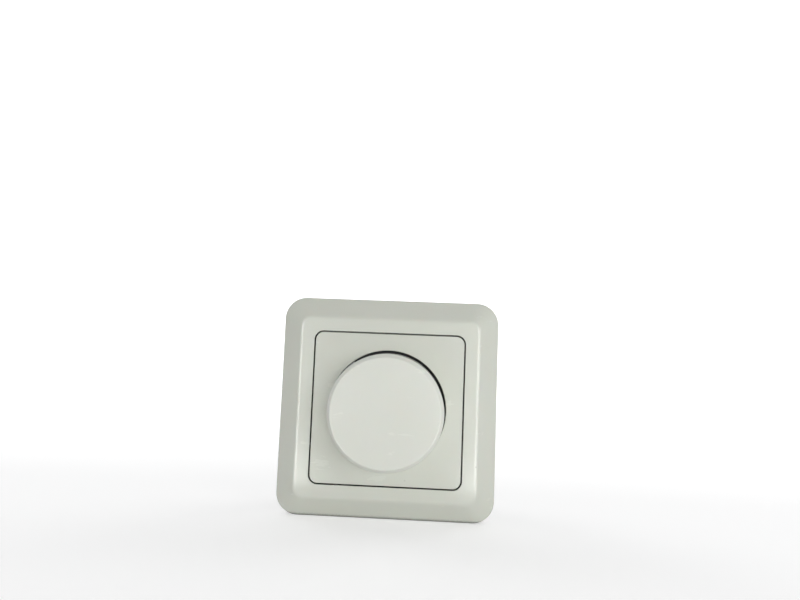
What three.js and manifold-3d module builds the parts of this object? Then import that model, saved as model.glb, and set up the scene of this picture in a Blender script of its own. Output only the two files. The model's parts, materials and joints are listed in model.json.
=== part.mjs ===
// Flush-mounted rotary wall dimmer: a square surround frame and centre plate with one large knob, on an
// insert that fits a 60 mm wall box. Millimetres.
//
// Everything is modelled in the device's own frame: x to the right, y up the wall, z straight out of the
// wall towards the user, with z = 0 on the wall surface and x = y = 0 on the knob's axis. The exported
// group turns that frame so that +Z is up the wall and the knob faces -Y, and lifts it so that the origin
// lies on the wall surface, at the bottom middle of the frame's back rim.

import * as THREE from "three";
import { mergeVertices } from "three/addons/utils/BufferGeometryUtils.js";
import Module from "manifold-3d";

const wasm = await Module();
wasm.setup();

// ---------------------------------------------------------------------------------------------------
// Driving dimensions
// ---------------------------------------------------------------------------------------------------

const SEAT_GAP = 0.05; // between pieces that rest on each other
const SLIDE_GAP = 0.15; // between pieces that slide on each other

// Visible face
const FRAME = { half: 40.25, corner: 8, wall: 4.9, ridgeInset: 7.25, height: 9, rim: 2, skin: 1.8 };
const OPENING = { half: 28, corner: 3.4 }; // in the frame
const LIP = { half: 25.5, top: 5.2, bottom: 4 }; // inward lip of the frame that the centre plate presses on
const PLATE = { half: 27.45, corner: 2.9, face: 9.15, thickness: 2, skirt: 1.8, edge: 0.4 };
const KNOB = { radius: 20.45, opening: 21.4, bottom: 5.8, face: 22.15, crown: 0.25, edge: 1.2, wall: 1.8 };
const HUB = { radius: 5.2, bottom: 10.4, top: 20.1, boreTop: 19.6, ribFoot: 14 };
const PRESS_TRAVEL = 1.6;

// Insert
const SUPPORT = { half: 35.5, corner: 7, thickness: 1.2 };
const COVER = { half: 22.2, corner: 4, bottom: 1.25, top: 3.45 };
const HOUSING = { half: 23, chamfer: 9, rear: -25, wall: 1.6, floor: -23.2 };
const BOARD = { half: 20.6, chamfer: 8, front: -7.1, rear: -8.7 };
const LEAD_FRONT = BOARD.rear + SEAT_GAP; // where the leads of parts on the board's front end
const LEAD_REAR = BOARD.front - SEAT_GAP; // and those of parts on its rear
const PIN = { half: 0.4, clearance: 0.12 };
const BOX_SCREW = { pitch: 60, slotWidth: 4.2, slotLength: 9, seatWidth: 7.4, seatLength: 12.2, seat: 1.5 };
const COVER_SCREW_AT = [[-15.8, 15.8], [15.8, -15.8]];

// Spindle and potentiometer
const SHAFT = { radius: 3, bottom: -8.4, top: 19.4, flatAt: 1.6, flatFrom: 8.2, keyHalf: 2.2, keyTop: -2.7 };
const GROOVE = { radius: 2.6, front: -1.65, rear: -2.25 }; // for the shaft's retaining ring
const BUSH = { radius: 5, bore: 3.1, top: 7.6 };
const POT = { radius: 9, cavity: 7.8, front: -0.3, rear: -7, roof: -1.5 };
const TRACK = { radius: 7.7, hole: 4.8, front: -6.15, rear: -6.95, tail: -10.6, tailHalf: 4.3 };
const WIPER = { radius: 7.2, hub: 4.4, front: -4.35, rear: -5.3, hubRear: -6.7 };
const TRACK_PIN_AT = [-3, 0, 3];

// Push switch behind the board
const SWITCH = { halfX: 6.5, halfY: 6, wall: 1.2, front: -8.85, rear: -18.6 };
const PLUNGER = { half: 3.2, front: -8.75, rear: -12, boss: 2.2, bossFront: -8.5 };
const BRIDGE = { halfX: 4.6, halfY: 1, thickness: 0.4 };
const CONTACT = { inner: 3.6, outer: 5.25, pad: 0.7, halfY: 1, stem: 0.5 };
const SPRING = { radius: 2, wire: 0.28, turns: 4 };

// Terminals: a row at the bottom of the insert, with screws facing the rear
const TERMINAL = { y: -16.3, pitch: 9, halfX: 3.4, halfY: 2.6, front: -11.4, rear: -19.6, bar: 1.2, nut: 2 };
const STRIP = { half: 1.9, front: -16.4, rear: -17.3, back: -11.6 };
const TERMINAL_SCREW = { shank: 1.6, head: 2.9, headFront: -22.9, headRear: -24.7 };

// Spreading claws, one each side. Each is drawn up a ramp on the housing by a nut on its screw.
const CLAW = { y: 7, halfWidth: 4, slot: 1.75, webInner: 26.85, outer: 27.9, rear: -22.2, length: 6.4 };
const RAMP = { x: 23, z: -22.4, angle: THREE.MathUtils.degToRad(24.8), reach: 11, width: 1.2 };
const CLAW_NUT = { halfX: 2.05, halfY: 2.5, front: -22.3, rear: -24.6 };
const CLAW_SCREW = { x: 25.2, shank: 1.45, head: 2.5, seat: 1.25, top: 3.1, end: -24.9 };

// Parts on the board
const TRIAC = { x: [-2, 7.2], y: [10.2, 20.2], front: -0.35, rear: -4.7, tabX: -8.3, tabRear: -1.6 };
const TRIAC_LEAD_PITCH = 2.54;
const FUSE = { y: -15.2, z: -3.85, radius: 2.7, glass: 2.5, half: 10, cap: 5, clipX: 7.5, clip: 0.4 };
const CHOKE = { x: 11.5, y: 12, radius: 7, core: 3.4, rear: -19.8, flange: 1.5, winding: 6.4 };

// ---------------------------------------------------------------------------------------------------
// Materials
// ---------------------------------------------------------------------------------------------------

const finish = (color, roughness, metalness = 0) =>
  new THREE.MeshStandardMaterial({ color, roughness, metalness });

const MATERIAL = {
  whitePlastic: finish(0xe9e9e2, 0.35),
  blackPlastic: finish(0x1b1b1c, 0.55),
  greyPlastic: finish(0xb9bab5, 0.5),
  zincSteel: finish(0xb8bcc0, 0.35, 1),
  springSteel: finish(0x8d9196, 0.3, 1),
  brass: finish(0xc9a24a, 0.3, 1),
  copper: finish(0xb4623a, 0.35, 1),
  phenolic: finish(0x8a5a2b, 0.6),
  ferrite: finish(0x3a3b3d, 0.7),
  glass: finish(0xdfe8e6, 0.05),
  film: finish(0xd0a728, 0.45),
  ceramic: finish(0xcfb98e, 0.5),
};

// ---------------------------------------------------------------------------------------------------
// Solids: every function below returns a manifold-3d solid made from three.js geometry
// ---------------------------------------------------------------------------------------------------

const SMALL_STEPS = 14;
const ROUND_STEPS = 24;
const FACE_STEPS = 48;
const CORNER_STEPS = 5;

function solidOf(geometry) {
  const bare = new THREE.BufferGeometry().setAttribute("position", geometry.getAttribute("position"));
  bare.setIndex(geometry.index);
  const merged = mergeVertices(bare, 1e-4);
  const mesh = new wasm.Mesh({
    numProp: 3,
    vertProperties: merged.attributes.position.array,
    triVerts: new Uint32Array(merged.index.array),
  });
  return new wasm.Manifold(mesh);
}

function geometryOf(solid) {
  const mesh = solid.getMesh();
  const positions = new Float32Array(mesh.numVert * 3);
  for (let i = 0; i < mesh.numVert; i++) {
    positions.set(mesh.vertProperties.subarray(i * mesh.numProp, i * mesh.numProp + 3), i * 3);
  }
  const geometry = new THREE.BufferGeometry();
  geometry.setAttribute("position", new THREE.BufferAttribute(positions, 3));
  geometry.setIndex(new THREE.BufferAttribute(new Uint32Array(mesh.triVerts), 1));
  geometry.computeVertexNormals();
  return geometry;
}

const join = (first, ...rest) => rest.reduce((made, next) => made.add(next), first);
const cut = (first, ...rest) => rest.reduce((made, next) => made.subtract(next), first);

function block(x0, x1, y0, y1, z0, z1) {
  const box = new THREE.BoxGeometry(x1 - x0, y1 - y0, z1 - z0);
  return solidOf(box.translate((x0 + x1) / 2, (y0 + y1) / 2, (z0 + z1) / 2));
}

// A cylinder along z.
function rod(x, y, radius, z0, z1, steps = SMALL_STEPS) {
  const cylinder = new THREE.CylinderGeometry(radius, radius, z1 - z0, steps);
  return solidOf(cylinder.rotateX(Math.PI / 2).translate(x, y, (z0 + z1) / 2));
}

// A cylinder along x, and one along y.
function rodX(x0, x1, y, z, radius, steps = SMALL_STEPS) {
  const cylinder = new THREE.CylinderGeometry(radius, radius, x1 - x0, steps);
  return solidOf(cylinder.rotateZ(Math.PI / 2).translate((x0 + x1) / 2, y, z));
}

function rodY(x, y0, y1, z, radius, steps = SMALL_STEPS) {
  const cylinder = new THREE.CylinderGeometry(radius, radius, y1 - y0, steps);
  return solidOf(cylinder.translate(x, (y0 + y1) / 2, z));
}

function prism(shape, z0, z1, steps = CORNER_STEPS) {
  const extruded = new THREE.ExtrudeGeometry(shape, {
    depth: z1 - z0,
    bevelEnabled: false,
    curveSegments: steps,
  });
  return solidOf(extruded.translate(0, 0, z0));
}

// A polygon in the x-z plane, drawn out along y.
function slab(points, y0, y1) {
  const shape = new THREE.Shape(points.map(([x, z]) => new THREE.Vector2(x, z)));
  const extruded = new THREE.ExtrudeGeometry(shape, { depth: y1 - y0, bevelEnabled: false });
  return solidOf(extruded.rotateX(Math.PI / 2).translate(0, y1, 0));
}

// A profile of [radius, z] points, turned about the z axis.
function turned(profile, steps = ROUND_STEPS) {
  const points = profile.map(([radius, z]) => new THREE.Vector2(radius, z));
  return solidOf(new THREE.LatheGeometry(points, steps).rotateX(Math.PI / 2));
}

function squareOutline(half, radius) {
  const points = [];
  for (let corner = 0; corner < 4; corner++) {
    const towards = (corner * Math.PI) / 2;
    const [sx, sy] = [[1, 1], [-1, 1], [-1, -1], [1, -1]][corner];
    for (let step = 0; step <= CORNER_STEPS; step++) {
      const angle = towards + (step / CORNER_STEPS) * (Math.PI / 2);
      points.push([
        sx * (half - radius) + radius * Math.cos(angle),
        sy * (half - radius) + radius * Math.sin(angle),
      ]);
    }
  }
  return points;
}

const squareShape = (half, radius) =>
  new THREE.Shape(squareOutline(half, radius).map(([x, y]) => new THREE.Vector2(x, y)));

function octagonShape(half, chamfer) {
  const short = half - chamfer;
  const corners = [
    [half, -short], [half, short], [short, half], [-short, half],
    [-half, short], [-half, -short], [-short, -half], [short, -half],
  ];
  return new THREE.Shape(corners.map(([x, y]) => new THREE.Vector2(x, y)));
}

// Rounded squares of [half, corner radius, z], joined into a closed loop of skin, as a picture frame's
// moulding is. The levels run round the moulding's section anticlockwise, seen with z up.
function moulding(levels) {
  const rings = levels.map(([half, radius, z]) => squareOutline(half, radius).map(([x, y]) => [x, y, z]));
  const around = rings[0].length;
  const indices = [];
  for (let level = 0; level < rings.length; level++) {
    const next = (level + 1) % rings.length;
    for (let i = 0; i < around; i++) {
      const j = (i + 1) % around;
      const [a, b, c, d] = [level * around + i, level * around + j, next * around + j, next * around + i];
      indices.push(a, b, c, a, c, d);
    }
  }
  const geometry = new THREE.BufferGeometry();
  geometry.setAttribute("position", new THREE.Float32BufferAttribute(rings.flat(2), 3));
  geometry.setIndex(indices);
  return solidOf(geometry);
}

// The same solid turned half round the knob's axis.
const opposite = (solid) => solid.rotate([0, 0, 180]);

// ---------------------------------------------------------------------------------------------------
// Visible face: frame, centre plate, knob
// ---------------------------------------------------------------------------------------------------

function surroundFrame() {
  const ridge = FRAME.half - FRAME.ridgeInset;
  const inside = OPENING.half + 1.6;
  const cornerAt = (half) => Math.max(OPENING.corner, FRAME.corner - 0.58 * (FRAME.half - half));
  const level = (half, z) => [half, cornerAt(half), z];
  return moulding([
    level(FRAME.half, 0),
    level(FRAME.half, FRAME.wall),
    level(FRAME.half - 0.2, FRAME.wall + 0.4),
    level(FRAME.half - 0.55, FRAME.wall + 0.75),
    level(ridge + 0.75, FRAME.height - 0.42),
    level(ridge + 0.3, FRAME.height - 0.12),
    level(ridge - 0.3, FRAME.height),
    level(OPENING.half + 0.3, FRAME.height),
    level(OPENING.half, FRAME.height - 0.3),
    level(OPENING.half, LIP.top),
    level(LIP.half, LIP.top),
    level(LIP.half, LIP.bottom),
    level(inside, LIP.bottom),
    level(inside, FRAME.height - FRAME.skin),
    level(ridge, FRAME.height - FRAME.skin),
    level(FRAME.half - FRAME.rim, FRAME.wall - 0.6),
    level(FRAME.half - FRAME.rim, 0),
  ]);
}

function centrePlate() {
  const underside = PLATE.face - PLATE.thickness;
  const foot = LIP.top + SEAT_GAP;
  const inner = PLATE.half - PLATE.skirt;
  const skirt = moulding([
    [PLATE.half, PLATE.corner, foot],
    [PLATE.half, PLATE.corner, PLATE.face - PLATE.edge],
    [PLATE.half - 0.12, PLATE.corner - 0.12, PLATE.face - 0.12],
    [PLATE.half - PLATE.edge, PLATE.corner - PLATE.edge, PLATE.face],
    [inner, PLATE.corner - PLATE.skirt, PLATE.face],
    [inner, PLATE.corner - PLATE.skirt, foot],
  ]);
  const web = prism(squareShape(inner + 0.3, PLATE.corner - PLATE.skirt + 0.3), underside, PLATE.face);
  const face = cut(join(skirt, web), rod(0, 0, KNOB.opening, 0, 2 * PLATE.face, FACE_STEPS));
  return join(face, ...snapLegs(underside));
}

const SNAP = { inner: 23.4, outer: 24.8, y: 15, halfWidth: 3, hook: 25.5, hookTop: -0.25, end: -1.9 };

// Four legs under the centre plate that snap behind the support plate.
function snapLegs(underside) {
  const leg = (y) =>
    join(
      block(SNAP.inner, SNAP.outer, y - SNAP.halfWidth, y + SNAP.halfWidth, SNAP.end, underside + 0.1),
      slab(
        [[SNAP.outer - 0.1, SNAP.end], [SNAP.hook, SNAP.hookTop], [SNAP.outer - 0.1, SNAP.hookTop]],
        y - SNAP.halfWidth,
        y + SNAP.halfWidth,
      ),
    );
  return [leg(SNAP.y), leg(-SNAP.y), opposite(leg(SNAP.y)), opposite(leg(-SNAP.y))];
}

function rotaryKnob() {
  const round = [];
  for (let step = 0; step <= 4; step++) {
    const angle = (step / 4) * (Math.PI / 2);
    round.push([
      KNOB.radius - KNOB.edge + KNOB.edge * Math.cos(angle),
      KNOB.face - KNOB.edge + KNOB.edge * Math.sin(angle),
    ]);
  }
  const inner = KNOB.radius - KNOB.wall;
  const roof = KNOB.face - 2;
  const cup = turned(
    [
      [0, roof], [inner - 0.4, roof], [inner, roof - 0.4], [inner, KNOB.bottom],
      [KNOB.radius, KNOB.bottom], ...round, [KNOB.radius / 2, KNOB.face + 0.75 * KNOB.crown],
      [0, KNOB.face + KNOB.crown],
    ],
    FACE_STEPS,
  );
  const hub = rod(0, 0, HUB.radius, HUB.bottom, HUB.top + 0.1, ROUND_STEPS);
  const boreFlat = SHAFT.flatAt + 0.6;
  const bore = cut(
    rod(0, 0, SHAFT.radius + 0.06, HUB.bottom - 1, HUB.boreTop, ROUND_STEPS),
    block(boreFlat, HUB.radius, -HUB.radius, HUB.radius, HUB.bottom - 2, HUB.boreTop + 1),
  );
  const rib = block(HUB.radius - 0.4, inner + 0.2, -0.6, 0.6, HUB.ribFoot, roof + 0.1);
  const ribs = [0, 60, 120, 180, 240, 300].map((turn) => rib.rotate([0, 0, turn]));
  return cut(join(cup, hub, ...ribs), bore);
}

// A bowed strip between the shaft's flat and the knob's bore, which keeps the knob from rattling.
function gripSpring() {
  const [foot, head, rest, bow, thick] = [11.4, 19, SHAFT.flatAt + 0.1, 0.22, 0.2];
  const side = (offset) =>
    [0, 0.25, 0.5, 0.75, 1].map((t) => [
      rest + offset + bow * Math.sin(Math.PI * t),
      foot + (head - foot) * t,
    ]);
  return slab([...side(thick), ...side(0).reverse()], -1.6, 1.6);
}

// ---------------------------------------------------------------------------------------------------
// Spindle and potentiometer
// ---------------------------------------------------------------------------------------------------

function controlShaft() {
  const { radius, bottom, top, flatAt, flatFrom, keyHalf, keyTop } = SHAFT;
  const body = rod(0, 0, radius, bottom, top, ROUND_STEPS);
  const flat = block(flatAt, radius + 1, -radius - 1, radius + 1, flatFrom, top + 1);
  const key = block(-radius - 1, radius + 1, keyHalf, radius + 1, bottom - 1, keyTop);
  const groove = cut(
    rod(0, 0, radius + 1, GROOVE.rear, GROOVE.front, ROUND_STEPS),
    rod(0, 0, GROOVE.radius, GROOVE.rear - 1, GROOVE.front + 1, ROUND_STEPS),
  );
  return cut(body, flat, key, opposite(key), groove);
}

// E-clip that keeps the shaft from being pulled out of the bush. It sits just behind the bush's roof.
function retainingRing() {
  const [z0, z1] = [GROOVE.rear + SEAT_GAP, GROOVE.front - SEAT_GAP];
  const ring = cut(
    rod(0, 0, 4.3, z0, z1, ROUND_STEPS),
    rod(0, 0, GROOVE.radius + 0.06, z0 - 1, z1 + 1, ROUND_STEPS),
  );
  return cut(ring, block(-1.2, 1.2, -6, 0, z0 - 1, z1 + 1));
}

function potentiometerBody() {
  const can = rod(0, 0, POT.radius, POT.rear, POT.front, ROUND_STEPS);
  const bush = rod(0, 0, BUSH.radius, POT.front - 0.2, BUSH.top, ROUND_STEPS);
  const cavity = rod(0, 0, POT.cavity, POT.rear - 1, POT.roof, ROUND_STEPS);
  const bore = rod(0, 0, BUSH.bore, POT.roof - 1, BUSH.top + 1, ROUND_STEPS);
  const notchHalf = TRACK.tailHalf + 0.2;
  const notch = block(-notchHalf, notchHalf, -POT.radius - 1, 0, POT.rear - 1, TRACK.front + 0.15);
  return cut(join(can, bush), cavity, bore, notch, ...threadGrooves(BUSH.radius, 3.9, BUSH.top - 0.4));
}

// Shallow rings that stand for a thread's crests and roots.
function threadGrooves(radius, from, to) {
  const [pitch, depth] = [1.2, 0.3];
  const grooves = [];
  for (let z = from; z < to; z += pitch) {
    const outer = rod(0, 0, radius + 1, z, z + pitch / 2, ROUND_STEPS);
    grooves.push(cut(outer, rod(0, 0, radius - depth, z - 1, z + 1, ROUND_STEPS)));
  }
  return grooves;
}

function resistiveTrack() {
  const { radius, hole, front, rear, tail, tailHalf } = TRACK;
  const tab = block(-tailHalf, tailHalf, tail, -6, rear, front);
  const disc = join(rod(0, 0, radius, rear, front, ROUND_STEPS), tab);
  const pins = TRACK_PIN_AT.map((x) => pinHole(x, tail + 0.7, rear, front));
  return cut(disc, rod(0, 0, hole, rear - 1, front + 1, ROUND_STEPS), ...pins);
}

const trackPin = (x) => squarePin(x, TRACK.tail + 0.7, LEAD_FRONT, TRACK.front + 0.45);

function wiperCarrier() {
  const disc = rod(0, 0, WIPER.radius, WIPER.rear, WIPER.front, ROUND_STEPS);
  const hub = rod(0, 0, WIPER.hub, WIPER.hubRear, WIPER.rear + 0.1, ROUND_STEPS);
  const clear = 0.08;
  const key = SHAFT.keyHalf + clear;
  const hole = rod(0, 0, SHAFT.radius + clear, WIPER.hubRear - 1, WIPER.front + 1, ROUND_STEPS);
  const flats = block(-WIPER.radius, WIPER.radius, -key, key, WIPER.hubRear - 1, WIPER.front + 1);
  return cut(join(disc, hub), hole.intersect(flats));
}

// A sprung ring under the wiper carrier, with two fingers that touch the track.
function wiperContact() {
  const top = WIPER.rear - SEAT_GAP;
  const ring = cut(
    rod(0, 0, 6.9, top - 0.3, top, ROUND_STEPS),
    rod(0, 0, WIPER.hub + 0.2, top - 1, top + 1, ROUND_STEPS),
  );
  const finger = (x) => block(x - 0.6, x + 0.6, -0.8, 0.8, TRACK.front + 0.03, top - 0.1);
  return join(ring, finger(6), finger(-6));
}

// ---------------------------------------------------------------------------------------------------
// Support plate, front cover and what fastens them
// ---------------------------------------------------------------------------------------------------

function slotHole(x, y, halfX, halfY, z0, z1) {
  const radius = Math.min(halfX, halfY);
  const [dx, dy] = [halfX - radius, halfY - radius];
  return join(
    block(x - (dx || radius), x + (dx || radius), y - (dy || radius), y + (dy || radius), z0, z1),
    rod(x - dx, y - dy, radius, z0, z1),
    rod(x + dx, y + dy, radius, z0, z1),
  );
}

function supportPlate() {
  const { half, corner, thickness } = SUPPORT;
  const [low, high] = [-1, thickness + 1];
  const away = BOX_SCREW.pitch / 2;
  const [across, along] = [BOX_SCREW.slotWidth / 2, BOX_SCREW.slotLength / 2];
  const [wide, long] = [BOX_SCREW.seatWidth / 2, BOX_SCREW.seatLength / 2];
  const seats = [
    slotHole(away, 0, wide, long, thickness / 2, BOX_SCREW.seat),
    slotHole(0, away, long, wide, thickness / 2, BOX_SCREW.seat),
  ];
  const sideSlot = slotHole(away, 0, across, along, low, high);
  const topSlot = slotHole(0, away, along, across, low, high);
  const snapSlot = (y) => block(SNAP.inner - 0.3, SNAP.outer + 0.3, y - SNAP.halfWidth - 0.4,
    y + SNAP.halfWidth + 0.4, low, high);
  const clawHole = rod(CLAW_SCREW.x, CLAW.y, CLAW_SCREW.shank + 0.25, low, high);
  const pairs = [sideSlot, topSlot, snapSlot(SNAP.y), snapSlot(-SNAP.y), clawHole];
  return cut(
    join(prism(squareShape(half, corner), 0, thickness), ...seats, ...seats.map(opposite)),
    ...pairs,
    ...pairs.map(opposite),
    rod(0, 0, BUSH.radius + 0.2, low, high, ROUND_STEPS),
    rod(triacHole.x, triacHole.y, triacHole.screw + 0.1, low, high),
    ...COVER_SCREW_AT.map(([x, y]) => rod(x, y, 1.7, low, high)),
  );
}

function frontCover() {
  const plate = prism(squareShape(COVER.half, COVER.corner), COVER.bottom, COVER.top);
  const holes = COVER_SCREW_AT.flatMap(([x, y]) => [
    rod(x, y, 1.5, 0, COVER.top + 1),
    rod(x, y, 2.9, COVER.top - 1.05, COVER.top + 1),
  ]);
  return cut(plate, rod(0, 0, BUSH.radius + 0.3, 0, COVER.top + 1, ROUND_STEPS), ...holes);
}

// A pan-head screw along z with a straight slot. Its shank runs from the head towards `end`.
function screw(x, y, shank, head, seat, crown, end, slotTurn = 0) {
  const outward = Math.sign(crown - seat);
  const body = join(
    rod(x, y, head, Math.min(seat, crown), Math.max(seat, crown)),
    rod(x, y, shank, Math.min(end, seat + 0.1 * outward), Math.max(end, seat + 0.1 * outward)),
  );
  const floor = crown - 0.8 * outward;
  const [slotLow, slotHigh] = [floor, crown + outward].sort((a, b) => a - b);
  const slot = block(-head - 1, head + 1, -0.4, 0.4, slotLow, slotHigh);
  return cut(body, slot.rotate([0, 0, slotTurn]).translate([x, y, 0]));
}

const coverScrew = ([x, y]) => screw(x, y, 1.3, 2.6, COVER.top - 1, COVER.top + 0.15, -9, 35);

function bushNut() {
  const [radius, z0, z1] = [14 / Math.sqrt(3), COVER.top + 0.6, COVER.top + 3.1];
  const hexagon = rod(0, 0, radius, z0, z1, 6);
  const profile = [[0, z0], [radius + 0.1, z0], [radius + 0.1, z1 - 0.9], [7.1, z1], [0, z1]];
  const domed = turned(profile, ROUND_STEPS);
  return cut(hexagon.intersect(domed), rod(0, 0, BUSH.radius + SLIDE_GAP, z0 - 1, z1 + 1, ROUND_STEPS));
}

function lockWasher() {
  const [inner, outer, z0, z1] = [BUSH.radius + 0.2, 8.2, COVER.top + SEAT_GAP, COVER.top + 0.5];
  const notches = [];
  for (let turn = 0; turn < 360; turn += 30) {
    notches.push(block(outer - 1.1, outer + 1, -0.6, 0.6, z0 - 1, z1 + 1).rotate([0, 0, turn]));
  }
  const [disc, hole] = [rod(0, 0, outer, z0, z1, ROUND_STEPS), rod(0, 0, inner, z0 - 1, z1 + 1, ROUND_STEPS)];
  return cut(disc, hole, ...notches);
}

// ---------------------------------------------------------------------------------------------------
// Housing and claws
// ---------------------------------------------------------------------------------------------------

const rampPoint = (along, off = 0) => [
  RAMP.x + along * Math.sin(RAMP.angle) + off * Math.cos(RAMP.angle),
  RAMP.z + along * Math.cos(RAMP.angle) - off * Math.sin(RAMP.angle),
];

const terminalPlaces = [-1, 0, 1].map((n) => n * TERMINAL.pitch);

function insertHousing() {
  const { half, chamfer, rear, wall, floor } = HOUSING;
  const inner = half - wall;
  const shell = cut(
    prism(octagonShape(half, chamfer), rear, -SEAT_GAP),
    prism(octagonShape(inner, chamfer - 0.6), floor, 1),
  );
  const posts = COVER_SCREW_AT.map(([x, y]) => rod(x, y, 2.8, floor - 0.1, -0.1));
  const pilots = COVER_SCREW_AT.map(([x, y]) => rod(x, y, 1.45, -12, 1));
  const dividers = [-0.5, 0.5].map((n) => {
    const x = n * TERMINAL.pitch;
    return block(x - 0.5, x + 0.5, -inner - 0.1, TERMINAL.y + 3.2, floor - 0.1, BOARD.rear - 1.5);
  });
  const ledge = block(inner - 1.4, inner + 0.1, -4, 4, floor - 0.1, BOARD.rear - SEAT_GAP);
  const ledges = [ledge, opposite(ledge), ledge.rotate([0, 0, 90])];
  const openings = terminalPlaces.flatMap((x) => [
    block(x - 2.4, x + 2.4, -half - 1, -inner + 0.5, STRIP.front, TERMINAL.front - TERMINAL.bar),
    rod(x, TERMINAL.y, TERMINAL_SCREW.head + 0.35, rear - 1, floor + 1),
  ]);
  const rails = clawRails();
  const body = join(shell, ...posts, ...dividers, ...ledges, ...rails, ...rails.map(opposite));
  return cut(body, ...pilots, ...openings);
}

// Two ramps beside the claw's screw, on the outside of the housing.
function clawRails() {
  const profile = [rampPoint(0), rampPoint(RAMP.reach), [rampPoint(RAMP.reach)[0], -8], [RAMP.x, -3],
    [RAMP.x - 0.5, -3], [RAMP.x - 0.5, RAMP.z]];
  const rail = (y0) => slab(profile, y0, y0 + RAMP.width);
  return [rail(CLAW.y - CLAW.halfWidth), rail(CLAW.y + CLAW.halfWidth - RAMP.width)];
}

// A wedge with a toothed outer face. Its two legs ride the ramps and straddle the screw.
function claw() {
  const top = CLAW.rear + CLAW.length;
  const slope = Math.cos(RAMP.angle);
  const alongAt = (z) => (z - RAMP.z + SLIDE_GAP * Math.sin(RAMP.angle)) / slope;
  const teeth = [];
  for (let tooth = 0; tooth < 4; tooth++) {
    const z = top - (tooth * CLAW.length) / 4;
    teeth.push([CLAW.outer, z], [CLAW.outer - 0.5, z - CLAW.length / 4]);
  }
  const body = slab(
    [rampPoint(alongAt(CLAW.rear), SLIDE_GAP), rampPoint(alongAt(top), SLIDE_GAP), ...teeth],
    CLAW.y - CLAW.halfWidth,
    CLAW.y + CLAW.halfWidth,
  );
  return cut(body, block(0, CLAW.webInner, CLAW.y - CLAW.slot, CLAW.y + CLAW.slot, -30, 0));
}

function clawNut() {
  const { halfX, halfY, front, rear } = CLAW_NUT;
  const nut = block(CLAW_SCREW.x - halfX, CLAW_SCREW.x + halfX, CLAW.y - halfY, CLAW.y + halfY, rear, front);
  return cut(nut, rod(CLAW_SCREW.x, CLAW.y, CLAW_SCREW.shank + 0.1, rear - 1, front + 1));
}

function clawScrew() {
  const { x, shank, head, seat, top, end } = CLAW_SCREW;
  return screw(x, CLAW.y, shank, head, seat, top, end, 20);
}

// ---------------------------------------------------------------------------------------------------
// Circuit board and the parts on it
// ---------------------------------------------------------------------------------------------------

const squarePin = (x, y, z0, z1) => block(x - PIN.half, x + PIN.half, y - PIN.half, y + PIN.half, z0, z1);

function pinHole(x, y, z0, z1) {
  const half = PIN.half + PIN.clearance;
  return block(x - half, x + half, y - half, y + half, z0 - 1, z1 + 1);
}

const triacHole = {
  x: (TRIAC.tabX + TRIAC.x[0]) / 2,
  y: (TRIAC.y[0] + TRIAC.y[1]) / 2,
  tab: 1.8,
  screw: 1.4,
};
const TRIAC_LEAD_X = TRIAC.x[1] + 3.2;
const triacLeads = [-1, 0, 1].map((n) => triacHole.y + n * TRIAC_LEAD_PITCH);

function triac() {
  const body = block(TRIAC.x[0], TRIAC.x[1], ...TRIAC.y, TRIAC.rear, TRIAC.front);
  const tab = block(TRIAC.tabX, TRIAC.x[0] + 0.1, ...TRIAC.y, TRIAC.tabRear, TRIAC.front);
  const leads = triacLeads.flatMap((y) => [
    block(TRIAC.x[1] - 0.1, TRIAC_LEAD_X + PIN.half, y - PIN.half, y + PIN.half, -2.9, -2.3),
    squarePin(TRIAC_LEAD_X, y, LEAD_FRONT, -2.3),
  ]);
  return cut(join(body, tab, ...leads), rod(triacHole.x, triacHole.y, triacHole.tab, -6, 1));
}

function triacInsulator() {
  const pad = block(TRIAC.tabX - 0.5, TRIAC.x[1] + 0.5, TRIAC.y[0] - 0.5, TRIAC.y[1] + 0.5,
    TRIAC.front + SEAT_GAP, -SEAT_GAP);
  return cut(pad, rod(triacHole.x, triacHole.y, triacHole.tab, -6, 1));
}

function triacScrew() {
  const [head, seat, crown] = [2.7, TRIAC.tabRear - SEAT_GAP, -3.5];
  return screw(triacHole.x, triacHole.y, triacHole.screw, head, seat, crown, SUPPORT.thickness - 0.1);
}

function fuseLink() {
  const { y, z, radius, glass, half, cap } = FUSE;
  return join(
    rodX(-half + 1, half - 1, y, z, glass),
    rodX(-half, -half + cap, y, z, radius),
    rodX(half - cap, half, y, z, radius),
  );
}

// A spring clip, U-shaped seen along the fuse, with its pin through the board.
function fuseClip(side) {
  const { y, radius, clip, clipX } = FUSE;
  const [inner, outer] = [radius + 0.15, radius + 0.15 + clip];
  const [x0, x1] = [side * clipX - 1.8, side * clipX + 1.8];
  const base = BOARD.front + SEAT_GAP;
  return join(
    block(x0, x1, y - outer, y + outer, base, base + clip),
    block(x0, x1, y - outer, y - inner, base, FUSE.z + 1.4),
    block(x0, x1, y + inner, y + outer, base, FUSE.z + 1.4),
    squarePin(side * clipX, y, LEAD_FRONT, base + clip / 2),
  );
}

function chokeCore() {
  const { x, y, radius, core, rear, flange } = CHOKE;
  const front = BOARD.rear - 0.1;
  return join(
    rod(x, y, core, rear, front, ROUND_STEPS),
    rod(x, y, radius, rear, rear + flange, ROUND_STEPS),
    rod(x, y, radius, front - flange, front, ROUND_STEPS),
  );
}

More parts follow.
